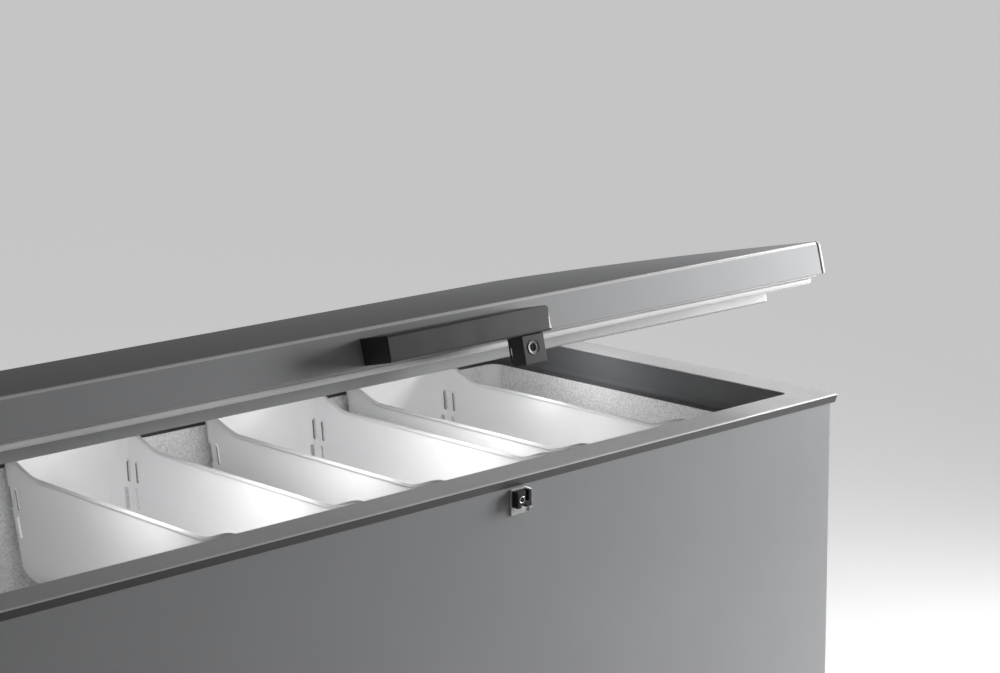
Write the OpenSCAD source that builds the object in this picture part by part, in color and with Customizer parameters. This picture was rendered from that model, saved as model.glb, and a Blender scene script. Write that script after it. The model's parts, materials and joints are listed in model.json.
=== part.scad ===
// Chest freezer with a counterbalanced lid, a lock, three hanging bins and casters.
// X runs along the length, Y to the rear and Z up; the floor is Z = 0.

/* [Cabinet] */
// Length of the cabinet over its rim
cab_l = 1408; // [1250:1:1700]
// Depth of the cabinet over its rim
cab_d = 700; // [640:1:760]
// Height from the underside of the bottom pan to the top of the rim
cab_h = 715; // [640:1:800]
// Width of the flat top of the rim
rim_w = 50; // [44:1:60]
// Height of the rim's outer lip
rim_lip = 12.7; // [8:0.1:20]
// Wall of the rim frame
rim_t = 3; // [2:0.5:4]
// How far the steel shell stands in from the rim at the ends
shell_in_x = 8; // [6:0.5:12]
// How far the steel shell stands in from the rim at the front and rear
shell_in_y = 4; // [4:0.5:8]
// Sheet of the outer shell
shell_t = 1.2; // [0.8:0.1:2]
// Sheet of the bottom pan
pan_t = 1.5; // [1:0.1:2.5]

/* [Interior] */
// Depth of the collar from the rim's top to its ledge
collar_h = 42.3; // [36:0.1:50]
// Width of the ledge that the bins hang on
ledge_w = 27; // [22:0.5:34]
// Wall of the collar
collar_t = 3; // [2:0.5:4]
// Sheet of the inner liner
liner_t = 1.2; // [0.8:0.1:2]
// Insulation under the interior floor
floor_foam = 72; // [60:1:90]
// Length of the raised step over the compressor
step_l = 230; // [200:1:280]
// Height of the step above the interior floor
step_h = 240; // [220:1:280]
// Insulation round the compressor space
step_foam = 56; // [45:1:64]

/* [Lid] */
// Angle at which the lid stands open
lid_open = 12.7; // [5:0.1:20]
// Height of the lid's crown above the rim
lid_top = 65; // [58:0.5:75]
// How much lower the lid's top is at the front
lid_crown = 7.8; // [4:0.1:12]
// How far the lid's rear edge stands in front of the rim's rear edge
lid_rear = 20; // [14:0.5:30]
// Sheet of the lid's skin
skin_t = 1.2; // [0.8:0.1:2]
// Thickness of the lid's frame band
frame_h = 5.7; // [4:0.1:9]
// Height of the gasket
gasket_h = 5.7; // [4:0.1:8]
// How far the inner panel stands in from the lid's edge
plug_in = 56.6; // [54:0.1:66]
// How far the inner panel drops below the rim
plug_drop = 15; // [8:0.5:17]
// Depth of the sunk field in the inner panel
field_h = 5; // [2:0.5:7]
// Thickness of the end caps
cap_t = 5; // [3:0.5:8]
// Shadow gap between the skin and the end caps
cap_gap = 3; // [1:0.5:5]

/* [Handle and lock] */
// Length of the handle
handle_l = 254; // [180:1:320]
// Height of the handle
handle_h = 31.5; // [26:0.5:40]
// How far the handle stands out from the lid
handle_out = 49.5; // [48:0.5:60]
// Wall of the handle
handle_t = 4; // [3:0.5:6]
// Width of the lock housing
lock_w = 36; // [32:0.5:44]
// Depth of the lock housing
lock_d = 26.5; // [24:0.5:28]
// Height of the lock housing
lock_h = 32.5; // [30:0.5:36]
// Radius of the lock cylinder
lock_r = 9; // [7:0.5:10]

/* [Hinges] */
// Distance of the hinge axis behind the rim
hinge_back = 10; // [10:0.5:14]
// Depth of the hinge axis below the rim's top
hinge_down = 29.3; // [27:0.1:34]
// Distance of each hinge from the cabinet's end
hinge_in = 260; // [180:1:320]
// Radius of the hinge pins
pin_r = 3; // [2.5:0.1:3.5]
// Outer radius of the hinge knuckles
knuckle_r = 6; // [5:0.1:6.5]
// Width of a hinge
hinge_w = 64; // [56:1:80]
// Thickness of the hinge plates
hinge_t = 3; // [2:0.5:4]

/* [Bins] */
// Width of a bin over its rim
bin_w = 200; // [170:1:210]
// Depth of a bin below its high ends
bin_h = 177; // [140:1:220]
// Wall of a bin
bin_t = 3; // [2:0.5:4]
// Rim bead of a bin
bead_t = 3; // [2:0.5:4]
// Depth of a bin's high ends below the cabinet's rim
bin_high = 20; // [18:0.5:24]
// Depth of a bin's low sides below the cabinet's rim
bin_low = 37.5; // [30:0.5:60]

/* [Casters] */
// Height of the bottom pan above the floor
caster_h = 70; // [66:1:84]
// Radius of a caster's wheel
wheel_r = 25; // [20:0.5:26]
// Width of a caster's wheel
wheel_w = 20; // [14:1:24]
// Trail of a caster's axle behind its swivel
trail = 16; // [12:1:20]
// Distance of each caster from the cabinet's corner
caster_in = 80; // [70:1:120]

/* [Machinery] */
// Radius of the compressor's shell
comp_r = 82; // [70:1:88]
// Height of the compressor's shell
comp_h = 178; // [150:1:186]
// Diameter of the evaporator's tube
evap_d = 8; // [6:0.5:10]
// Diameter of the condenser's tube
cond_d = 6; // [5:0.5:8]
// Turns of the evaporator
evap_turns = 4; // [3:1:5]

/* [Hidden] */
$fn = 48;
gap = 0.3;
fit = 0.05;
seam = 0.2;
eps = 0.01;

// Levels
rim_z = caster_h + cab_h;
pan_z = caster_h + pan_t;
floor_z = caster_h + floor_foam;
step_z = floor_z + step_h;
ledge_z = rim_z - collar_h;

// Folds of the outer shell
corner_r = 6;
flange_w = 14;

// Interior plan
liner_in = rim_w + ledge_w;
liner_r = 16;
rim_r = 10;
fillet_r = 8;
step_x = cab_l / 2 - liner_in - step_l;

// Space for the compressor
comp_x0 = step_x + step_foam;
comp_x1 = cab_l / 2 - shell_in_x - shell_t;
comp_z1 = step_z - step_foam;
comp_x = (comp_x0 + comp_x1) / 2;
comp_y = cab_d - 180;
plate_z = pan_z + 14;
comp_z = plate_z + 22;

// Hinge axis
hinge_y = cab_d + hinge_back;
hinge_z = rim_z - hinge_down;
hinge_x = cab_l / 2 - hinge_in;

// Lid levels, from the rim's top with the lid shut
lid_d = cab_d - lid_rear;
frame_z = gap + gasket_h;
skin_z = frame_z + frame_h;
lean = 1.5;
edge_r = 5;
crown_y = 0.765 * lid_d;
skin_end = cab_l / 2 - cap_t - cap_gap;
spigot_l = 20;
spigot_in = 3;

// Lock, from the rim's top with the lid shut
handle_z = 13.5;
lock_x = 94;
lock_z = handle_z - 2.5 - lock_h;
cyl_x = lock_x - 1.5;
cyl_z = -1.8;
cam_t = 3;
cam_l = 26;
cam_pin_r = 2.5;
cam_y = -handle_out + lock_d + gap;
strike_w = 38;
strike_h = 35;
strike_z = -50;
keeper_w = 24;
keeper_y = cam_y + cam_t + 2;
pin_reach = 8;

// Bins, from the rim's top
bin_in = [871, 548.5, 293.5];
bin_x = [for (d = bin_in) cab_l / 2 - d];
bin_slot_y = [20, 37.5];
bin_foot_r = 36;
bin_draft = [6, 8];

// Control panel on the front
lens_xs = [-50, -32, -14];
panel_x = comp_x;
panel_z = caster_h + 110;
panel_w = 150;
panel_h = 70;
knob_x = panel_x + 36;
shaft_r = 3;

// Drain
drain_x = -cab_l / 2 + 150;
drain_r = 11;
drain_y = cab_d / 2;
spout_l = 24;

// Cover over the compressor space
cover_x0 = comp_x0 + 6;
cover_x1 = comp_x1 - 20;
cover_z0 = caster_h + 20;
cover_z1 = comp_z1 - 8;
cover_rim = 14;

// Cooling circuit
evap_z0 = step_z + 25;
evap_gap = evap_d + 0.6;
cond_x1 = cab_l / 2 - 190;
cond_z0 = comp_z1 + 30;
cond_z1 = rim_z - 170;
cond_runs = 6;
drier_x = comp_x0 + 24;
drier_y = comp_y - 130;
drier_z = comp_z + 90;
drier_r = 9;
drier_h = 62;
suction_x = 30;
suction_d = 8;
suction_z = comp_z + comp_h + 1;
pipe_d = 5;

// Grille and cord gland
grille_y0 = 150;
grille_y1 = cab_d - 130;
grille_z0 = caster_h + 46;
grille_z1 = comp_z1 - 24;
inlet_x = cover_x1 - 40;
inlet_z = cover_z0 + 36;

// Hinges
back_y = cab_d - shell_in_y - shell_t;
ear_t = hinge_t;
hinge_plate_h = 96;
arm_w = 12;
spring_r = 5.2;
spring_wire = 2;
spring_turns = 8;

// Inner panel of the lid
tray_t = 2;
tray_flange = 1.5;
plug_r = 12;
field_in = 36;
field_r = 8;

// Casters
plate_t = 3;
race_h = 6;
fork_t = 2.5;
fork_z = caster_h - plate_t - race_h;
caster_x = cab_l / 2 - caster_in;
// Brake pedal on a pin across the fork's cheeks, above the wheel
brake_y = 19;
brake_z = fork_z - 7;

// Middle of the reach from the lock's front to the hinges' rear
front_reach = hinge_y - (hinge_y + handle_out) * cos(lid_open)
    + (lock_z + hinge_down) * sin(lid_open);
mid_y = (front_reach + hinge_y + knuckle_r) / 2;

// ---------- helpers ----------

module place() { translate([0, -mid_y, 0]) children(); }

module span(a, b) { translate(a) cube(b - a); }

// Points of an arc about c
function arc(c, r, a0, a1, n) =
    [for (i = [0:n]) c + r * [cos(a0 + (a1 - a0) * i / n), sin(a0 + (a1 - a0) * i / n)]];

function rrect_points(l, d, r, n) = concat(
    arc([l / 2 - r, d / 2 - r], r, 0, 90, n), arc([-l / 2 + r, d / 2 - r], r, 90, 180, n),
    arc([-l / 2 + r, -d / 2 + r], r, 180, 270, n), arc([l / 2 - r, -d / 2 + r], r, 270, 360, n));

module rrect(l, d, r, n = 5) { polygon(rrect_points(l, d, r, n)); }

// Upright prism whose sides stand in from the cabinet's outline
module inset(ux, uy, r, z0, z1) {
    translate([0, cab_d / 2, z0]) linear_extrude(z1 - z0)
        rrect(cab_l - 2 * ux, cab_d - 2 * uy, r);
}

// Profile drawn in the Y-Z plane, extruded along X
module along_x(x0, x1) {
    translate([x0, 0, 0]) rotate([90, 0, 90]) linear_extrude(x1 - x0) children();
}

// Profile drawn in the X-Z plane, extruded along Y
module along_y(y0, y1) {
    translate([0, y1, 0]) rotate([90, 0, 0]) linear_extrude(y1 - y0) children();
}

module rod_x(x0, x1, y, z, r) { translate([x0, y, z]) rotate([0, 90, 0]) cylinder(h = x1 - x0, r = r); }
module rod_y(y0, y1, x, z, r) { translate([x, y0, z]) rotate([-90, 0, 0]) cylinder(h = y1 - y0, r = r); }
module rod_z(z0, z1, x, y, r) { translate([x, y, z0]) cylinder(h = z1 - z0, r = r); }

function unit(v) = v / norm(v);

// Corners of a route rounded to radius r
function rounded(p, r) = concat([p[0]],
    [for (i = [1:len(p) - 2], k = [0:4])
        let (a = unit(p[i - 1] - p[i]), b = unit(p[i + 1] - p[i]),
            h = acos(a * b) / 2, m = unit(a + b), c = p[i] + m * r / sin(h),
            s = p[i] + a * r / tan(h), e = p[i] + b * r / tan(h),
            w = k / 4, q = (s * (1 - w) + e * w) - c)
        c + r * unit(q)],
    [p[len(p) - 1]]);

// Round tube along a route of points
module tube(p, d, ref = [0.31, 0.17, 1], sides = 8) {
    n = len(p);
    rings = [for (i = [0:n - 1])
        let (t = unit(p[min(i + 1, n - 1)] - p[max(i - 1, 0)]),
            u = unit(cross(t, ref)), v = cross(t, u))
        for (k = [0:sides - 1])
            p[i] + d / 2 * (u * cos(360 * k / sides) + v * sin(360 * k / sides))];
    faces = concat([[for (k = [0:sides - 1]) k]],
        [for (i = [0:n - 2], k = [0:sides - 1]) let (j = (k + 1) % sides)
            [i * sides + k, (i + 1) * sides + k, (i + 1) * sides + j, i * sides + j]],
        [[for (k = [sides - 1:-1:0]) (n - 1) * sides + k]]);
    polyhedron(rings, faces, convexity = 6);
}

// Cross-head pan screw along Y, with its head on the dir side of y and a shank of length l
module screw_y(x, y, z, dir, l, r = 2) {
    difference() {
        union() {
            rod_y(min(y, y + dir * 2), max(y, y + dir * 2), x, z, 2 * r);
            rod_y(min(y, y - dir * l), max(y, y - dir * l), x, z, r);
        }
        for (a = [0, 90]) translate([x, y + dir * 2, z]) rotate([0, a, 0])
            cube([0.7, 2, 2.4 * r], center = true);
    }
}

// ---------- cabinet ----------

module outer_shell() {
    color("silver") place() difference() {
        inset(shell_in_x, shell_in_y, corner_r, caster_h, rim_z - rim_t);
        inset(shell_in_x + shell_t, shell_in_y + shell_t, corner_r - shell_t, caster_h - 1, rim_z);
        // The rear is open between its flanges, for the rear panel
        span([-cab_l / 2 + shell_in_x + flange_w, cab_d - shell_in_y - shell_t - 1, caster_h - 1],
            [cab_l / 2 - shell_in_x - flange_w, cab_d, rim_z]);
        panel_cut(0);
        grille_cut(0);
        strike_holes(1.6);
    }
}

module rear_panel() {
    x1 = cab_l / 2 - shell_in_x - corner_r;
    y1 = back_y;
    color("darkgray") place() difference() {
        union() {
            span([-x1, y1 - shell_t, caster_h], [x1, y1, rim_z - rim_t]);
            // Stiffening swages
            for (x = [-0.3, 0, 0.3])
                span([x * cab_l - 16, y1 - eps, caster_h + 330],
                    [x * cab_l + 16, y1 + 1.4, rim_z - 180]);
        }
        cover_opening();
        hinge_holes(2);
        cover_screw_holes(1.6);
    }
}

module cover_opening() {
    span([cover_x0 + cover_rim, cab_d - 20, cover_z0 + cover_rim],
        [cover_x1 - cover_rim, cab_d + 5, cover_z1 - cover_rim]);
}

function cover_screws() = [for (x = [cover_x0 + cover_rim / 2, cover_x1 - cover_rim / 2],
    z = [cover_z0 + cover_rim / 2, cover_z1 - cover_rim / 2]) [x, z]];

module cover_screw_holes(r) {
    for (s = cover_screws()) rod_y(cab_d - 20, cab_d + 10, s[0], s[1], r + 0.1);
}

module bottom_pan() {
    color("dimgray") place() difference() {
        inset(shell_in_x + shell_t + gap, shell_in_y + 2 * shell_t + gap, 4, caster_h, caster_h + 20);
        inset(shell_in_x + shell_t + gap + pan_t, shell_in_y + 2 * shell_t + gap + pan_t, 3, pan_z,
            rim_z);
        rod_z(0, pan_z + 1, drain_x, drain_y, drain_r + 1.6);
    }
}

module rim_frame() {
    lip_z = rim_z - rim_lip;
    under_z = rim_z - rim_t;
    inner_z = rim_z - 2 * rim_t;
    color("lightgray") place() difference() {
        inset(0, 0, 3, lip_z, rim_z);
        inset(rim_w, rim_w, rim_r, lip_z - 1, rim_z + 1);
        difference() {
            inset(rim_t, rim_t, 1.5, lip_z - 1, under_z);
            inset(rim_w - rim_t, rim_w - rim_t, rim_r + rim_t, inner_z, rim_z);
        }
    }
}

module inner_collar() {
    wall = rim_w - collar_t;
    color("#505458") place() difference() {
        union() {
            difference() {
                inset(wall, wall, rim_r + collar_t, ledge_z - collar_t, rim_z - 2 * rim_t);
                inset(rim_w, rim_w, rim_r, ledge_z, rim_z);
            }
            // Soft foot between the wall and the ledge, as a run of low steps
            for (i = [0:4]) let (a = 90 * (i + 0.5) / 5)
                difference() {
                    inset(rim_w - eps, rim_w - eps, rim_r, ledge_z - eps,
                        ledge_z + fillet_r * (1 - sin(a)));
                    inset(rim_w + fillet_r * (1 - cos(a)), rim_w + fillet_r * (1 - cos(a)),
                        max(rim_r - fillet_r * (1 - cos(a)), 1), ledge_z - 1, rim_z);
                }
        }
        inset(liner_in, liner_in, liner_r, ledge_z - collar_t - 1, rim_z);
    }
}

// Interior volume grown by g, with the step at the right end
module interior(g, z1) {
    y0 = liner_in - g;
    inset(liner_in - g, liner_in - g, liner_r + g, step_z - g, z1);
    l = step_x + cab_l / 2 - liner_in + 2 * g;
    translate([(step_x - cab_l / 2 + liner_in) / 2, cab_d / 2, floor_z - g])
        linear_extrude(step_z - floor_z + eps) rrect(l, cab_d - 2 * y0, liner_r + g);
}

// Seams that part the liner into flat sheets, corner strips, floor, riser and step
module liner_seams() {
    x0 = -cab_l / 2 + liner_in + liner_r;
    y0 = liner_in + liner_r;
    y1 = cab_d - liner_in - liner_r;
    far = cab_l / 2;
    step_x1 = step_x + liner_t + 0.1;
    // Over the floor and over the step
    span([-far, 0, floor_z], [step_x1 + seam, cab_d, floor_z + seam]);
    span([x0, 0, step_z], [far, cab_d, step_z + seam]);
    span([step_x1, 0, step_z - liner_t - 1], [step_x1 + seam, cab_d, step_z]);
    // Beside the corners of the walls
    span([x0, 0, floor_z], [x0 + seam, cab_d, rim_z]);
    span([-x0 - seam, 0, step_z], [-x0, cab_d, rim_z]);
    for (y = [y0, y1 - seam]) {
        span([-far, y, floor_z], [x0, y + seam, rim_z]);
        span([-x0, y, step_z], [far, y + seam, rim_z]);
        // Beside the riser's corners
        span([step_x - liner_r, y, floor_z], [step_x1 + seam, y + seam, step_z]);
    }
    span([step_x - liner_r - seam, 0, floor_z], [step_x - liner_r, cab_d, step_z]);
}

module inner_liner() {
    color("gainsboro") place() difference() {
        interior(liner_t, ledge_z - collar_t);
        interior(0, rim_z);
        rod_z(caster_h, floor_z + 1, drain_x, drain_y, drain_r);
        liner_seams();
    }
}

module cabinet_foam() {
    wall = rim_w - collar_t - 0.2;
    in_x = shell_in_x + shell_t + 0.1;
    in_y = shell_in_y + 2 * shell_t + 0.1;
    color("khaki") place() difference() {
        inset(in_x, in_y, 4.5, pan_z, rim_z - rim_t - 0.1);
        // Clearance for the pan's and the rim's flanges
        difference() {
            inset(0, 0, 4, pan_z - 1, caster_h + 20.2);
            inset(in_x + pan_t + 0.6, in_y + pan_t + 0.6, 3, pan_z - 2, caster_h + 30);
        }
        inset(wall, wall, rim_r + collar_t, ledge_z - collar_t - 0.1, rim_z);
        interior(liner_t + 0.1, ledge_z);
        // Belt for the evaporator
        inset(liner_in - liner_t - evap_gap, liner_in - liner_t - evap_gap, liner_r + 8,
            evap_z0 - 12, ledge_z - collar_t - 14);
        // Pockets for the condenser
        for (y = [in_y - 1, cab_d - in_y - cond_d - 0.5])
            span([-cond_x1 - 12, y, cond_z0 - 12], [cond_x1 + 12, y + cond_d + 1.5, cond_z1 + 12]);
        span([comp_x0, 0, pan_z - 1], [cab_l / 2, cab_d, comp_z1]);
        rod_z(caster_h, floor_z + 1, drain_x, drain_y, drain_r + 1.6);
        strike_holes(2.1);
        hinge_holes(2.1);
    }
}

// ---------- cooling circuit ----------

module evaporator_coil() {
    o = liner_in - liner_t - 0.1 - evap_d / 2;
    x = cab_l / 2 - o;
    y0 = o;
    y1 = cab_d - o;
    top = ledge_z - collar_t - 26;
    pitch = (top - evap_z0) / evap_turns;
    corners = [for (k = [0:evap_turns - 1], c = [[-x, y0, 0], [x, y0, 0.25], [x, y1, 0.5],
        [-x, y1, 0.75]]) [c[0], c[1], evap_z0 + (k + c[2]) * pitch]];
    route = concat([[-x, (y0 + y1) / 2, evap_z0]], corners, [[-x, (y0 + y1) / 2, top]]);
    bend = liner_r + liner_t + evap_d / 2 - 1.5;
    color("#b87333") place() tube(rounded(route, bend), evap_d);
}

module condenser_coil() {
    pitch = (cond_z1 - cond_z0) / (cond_runs - 1);
    route = [for (k = [0:cond_runs - 1], s = [0, 1])
        [(k % 2 == s ? -1 : 1) * cond_x1, 0, cond_z0 + k * pitch]];
    y_in = shell_in_y + shell_t + 0.1 + cond_d / 2;
    y_rear = cab_d - y_in - shell_t;
    color("#3a3a3c") place() for (y = [y_in, y_rear])
        translate([0, y, 0]) tube(rounded(route, 20), cond_d, ref = [0, 1, 0]);
}

module compressor_plate() {
    w = comp_x1 - comp_x0 - 24;
    color("#404448") place() difference() {
        union() {
            translate([comp_x, comp_y, plate_z]) linear_extrude(2) rrect(w, 190, 8);
            for (s = [-1, 1]) translate([comp_x + s * (w / 2 - 1), comp_y, (pan_z + plate_z) / 2 + 1])
                cube([2, 150, plate_z - pan_z + 1.99], center = true);
        }
        for (p = grommet_spots()) rod_z(plate_z - 1, plate_z + 3, p[0], p[1], 6);
    }
}

function grommet_spots() = [for (x = [-1, 1], y = [-1, 1]) [comp_x + 80 * x, comp_y + 62 * y]];

module compressor_grommets() {
    color("#202020") place() for (p = grommet_spots()) difference() {
        union() {
            rod_z(plate_z + 2, comp_z - 4, p[0], p[1], 10);
            rod_z(plate_z - 2, plate_z + 2 + eps, p[0], p[1], 5.8);
        }
        rod_z(plate_z - 3, comp_z, p[0], p[1], 3);
    }
}

module compressor() {
    r = comp_r;
    h = comp_h;
    mid = h * 0.55;
    color("#1c1c1e") place() {
        translate([comp_x, comp_y, comp_z - 1]) rotate_extrude($fn = 64) polygon(concat(
            [[0, 0], [r * 0.62, 0]], arc([r - 26, 26], 26, 300, 360, 5),
            [[r, mid - 5], [r + 3, mid - 5], [r + 3, mid + 5], [r, mid + 5]],
            arc([r - 40, h - 42], 40, 0, 75, 6), [[0, h]]));
        // Suction stub
        rod_z(comp_z + h - 8, suction_z, comp_x + suction_x, comp_y, suction_d / 2 + 1.5);
        // Feet
        difference() {
            translate([comp_x, comp_y, comp_z - 4]) linear_extrude(4) rrect(186, 150, 18);
            for (p = grommet_spots()) rod_z(comp_z - 5, comp_z + 1, p[0], p[1], 3.4);
        }
    }
}

module start_relay() {
    color("#26282b") place() difference() {
        translate([comp_x, comp_y - comp_r - 15, comp_z + 78]) rotate([90, 0, 0])
            translate([0, 0, -11.6]) linear_extrude(30) rrect(56, 66, 6);
        rod_z(comp_z, comp_z + comp_h + 4, comp_x, comp_y, comp_r + 3.3);
    }
}

module filter_drier() {
    h = drier_h;
    color("#b87333") place() translate([drier_x, drier_y, drier_z]) rotate_extrude()
        polygon([[2, -h], [3.2, -h], [3.2, 10 - h], [drier_r, 18 - h], [drier_r, h - 18], [3.2, h - 10],
            [3.2, h], [2, h], [2, h - 12], [drier_r - 1.4, h - 19], [drier_r - 1.4, 19 - h], [2, 12 - h]]);
}

module refrigerant_pipes() {
    color("#b87333") place() {
        // Suction line, from the compressor's crown into the insulation above
        tube(rounded([[comp_x + suction_x, comp_y, suction_z + 0.1],
            [comp_x + suction_x, comp_y, suction_z + 9],
            [comp_x + 2 * suction_x, comp_y + 50, suction_z + 9],
            [comp_x + 2 * suction_x, comp_y + 50, comp_z1 - 0.2]], 6), suction_d);
        // Capillary, from the drier into the insulation above
        tube(rounded([[drier_x, drier_y, drier_z + drier_h + 0.2],
            [drier_x, drier_y, drier_z + drier_h + 12],
            [drier_x + 26, drier_y - 20, drier_z + drier_h + 12],
            [drier_x + 26, drier_y - 20, comp_z1 - 0.2]],
            6), pipe_d);
        // Condenser's end, from the insulation beside the drier up into it
        tube(rounded([[comp_x0 + 0.2, drier_y, drier_z - drier_h - 16], [drier_x, drier_y, drier_z - drier_h - 16],
            [drier_x, drier_y, drier_z - drier_h - 0.2]], 7), pipe_d);
    }
}

// ---------- panels, inlet and drain ----------

module grille_cut(g) {
    span([cab_l / 2 - 30, grille_y0 - g, grille_z0 - g], [cab_l / 2 + 10, grille_y1 + g, grille_z1 + g]);
}

module side_grille() {
    face = cab_l / 2 - shell_in_x;
    y0 = grille_y0 + gap;
    y1 = grille_y1 - gap;
    z0 = grille_z0 + gap;
    z1 = grille_z1 - gap;
    slats = floor((z1 - z0 - 16) / 14);
    pitch = (z1 - z0 - 16) / slats;
    color("#2b2d30") place() {
        difference() {
            union() {
                span([face - 10, y0, z0], [face + 1, y1, z1]);
                span([face, y0 - 8, z0 - 8], [face + 1.8, y1 + 8, z1 + 8]);
            }
            span([face - 11, y0 + 8, z0 + 8], [face + 3, y1 - 8, z1 - 8]);
        }
        for (k = [0:slats - 1])
            translate([0, 0, z0 + 8 + (k + 0.5) * pitch]) along_y(y0 + 8 - eps, y1 - 8 + eps)
                polygon([[face - 9.5, -5], [face - 8, -5], [face + 0.5, 4], [face - 1, 4]]);
        for (y = [y0 + (y1 - y0) / 3, y0 + 2 * (y1 - y0) / 3])
            span([face - 9.8, y - 2, z0 + 7], [face - 7, y + 2, z1 - 7]);
    }
}

module rear_cover() {
    y0 = back_y;
    n = floor((cover_x1 - cover_x0 - 50) / 15);
    rows = 5;
    row_h = (cover_z1 - cover_z0 - 50) / rows;
    color("#8a8d90") place() difference() {
        span([cover_x0, y0 + gap, cover_z0], [cover_x1, y0 + gap + 1.5, cover_z1]);
        for (i = [0:n - 1], j = [0:rows - 1])
            if (!(j == 0 && i > n - 5))
                translate([cover_x0 + 32 + 15 * i, 0, cover_z0 + 25 + (j + 0.5) * row_h])
                    along_y(y0 - 1, y0 + 5) rrect(5, row_h - 12, 2.4, 3);
        cover_screw_holes(2);
        rod_y(y0 - 1, y0 + 5, inlet_x, inlet_z, 8.2);
    }
}

module panel_screws() {
    y0 = back_y + gap + 1.5;
    color("gray") place() for (s = cover_screws()) screw_y(s[0], y0, s[1], 1, 8, 1.6);
}

module power_inlet() {
    y0 = back_y + gap;
    color("#18181a") place() difference() {
        union() {
            rod_y(y0 - 8, y0 + 1.5, inlet_x, inlet_z, 8);
            rod_y(y0 + 1.5, y0 + 4.5, inlet_x, inlet_z, 11);
            rod_y(y0 - 10, y0 - 1, inlet_x, inlet_z, 7.9);
            rod_y(y0 + 4.4, y0 + 9, inlet_x, inlet_z, 6.5);
        }
        rod_y(y0 - 11, y0 + 10, inlet_x, inlet_z, 3.6);
    }
}

module panel_cut(g) {
    span([panel_x - panel_w / 2 - g, -10, panel_z - panel_h / 2 - g],
        [panel_x + panel_w / 2 + g, 40, panel_z + panel_h / 2 + g]);
}

module control_panel() {
    y0 = shell_in_y;
    color("#3b3e42") place() difference() {
        union() {
            translate([panel_x, 0, panel_z]) along_y(y0 - 2.5, y0) rrect(panel_w + 14, panel_h + 14, 8);
            translate([panel_x, 0, panel_z]) along_y(y0 - 1, y0 + 14)
                rrect(panel_w - 2 * gap, panel_h - 2 * gap, 3);
        }
        // Hollow behind the face
        translate([panel_x, 0, panel_z]) along_y(y0 + 2.5, y0 + 15) rrect(panel_w - 8, panel_h - 8, 3);
        // Dished seat for the knob
        rod_y(y0 - 4, y0 - 1, knob_x, panel_z, 26);
        rod_y(y0 - 4, y0 + 5, knob_x, panel_z, shaft_r + 0.6);
        for (x = lens_xs) rod_y(y0 - 4, y0 + 5, panel_x + x, panel_z, 4.2);
    }
}

module thermostat_body() {
    y0 = shell_in_y + 2.5;
    color("#c8c8c4") place() {
        translate([knob_x, 0, panel_z]) along_y(y0, y0 + 24) rrect(44, 36, 3);
        rod_y(shell_in_y - 12, y0 + 1, knob_x, panel_z, shaft_r);
    }
}

module thermostat_knob() {
    y1 = shell_in_y - 1 - gap;
    color("#202224") place() difference() {
        union() {
            rod_y(y1 - 5, y1, knob_x, panel_z, 22);
            rod_y(y1 - 16, y1 - 4, knob_x, panel_z, 17);
            for (a = [0:15:345]) translate([knob_x, 0, panel_z]) rotate([0, a, 0])
                translate([17, y1 - 14, 0]) rotate([-90, 0, 0]) cylinder(h = 10, r = 1.2, $fn = 12);
        }
        rod_y(shell_in_y - 12.5, y1 + 1, knob_x, panel_z, shaft_r + fit);
        translate([knob_x - 1, y1 - 17, panel_z + 6]) cube([2, 1.6, 9]);
    }
}

module indicator_lights() {
    y0 = shell_in_y - 2.5;
    color("#d8e8d8") place() for (x = lens_xs) {
        rod_y(y0 - 1, y0 + 7, panel_x + x, panel_z, 4);
        rod_y(y0 + 5.3, y0 + 12, panel_x + x, panel_z, 5.4);
    }
}

module drain_tube() {
    color("#d0d0cc") place() difference() {
        union() {
            rod_z(caster_h - spout_l, floor_z - liner_t - 0.1, drain_x, drain_y, drain_r + 1.4);
            rod_z(pan_z - pan_t - 3, pan_z - pan_t, drain_x, drain_y, drain_r + 7);
        }
        rod_z(0, floor_z + 1, drain_x, drain_y, drain_r - 0.6);
    }
}

module drain_plug() {
    color("#303234") place() {
        rod_z(floor_z + 0.1, floor_z + 4, drain_x, drain_y, drain_r + 7);
        rod_z(floor_z - 14, floor_z + 1, drain_x, drain_y, drain_r - 0.8);
        translate([drain_x, drain_y, floor_z + 4 - eps]) difference() {
            rotate([90, 0, 0]) translate([0, 0, -2]) cylinder(h = 4, r = 9);
            rotate([90, 0, 0]) translate([0, 0, -3]) cylinder(h = 6, r = 5.5);
            translate([0, 0, -10]) cube([30, 30, 20], center = true);
        }
    }
}

// ---------- strike ----------

function strike_spots() = [for (z = [4.8, 16.5]) [lock_x + strike_w / 2 - 4, strike_z + z]];

module strike_holes(r) {
    for (s = strike_spots()) rod_y(-20, 12, s[0], rim_z + s[1], r + 0.1);
}

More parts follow.
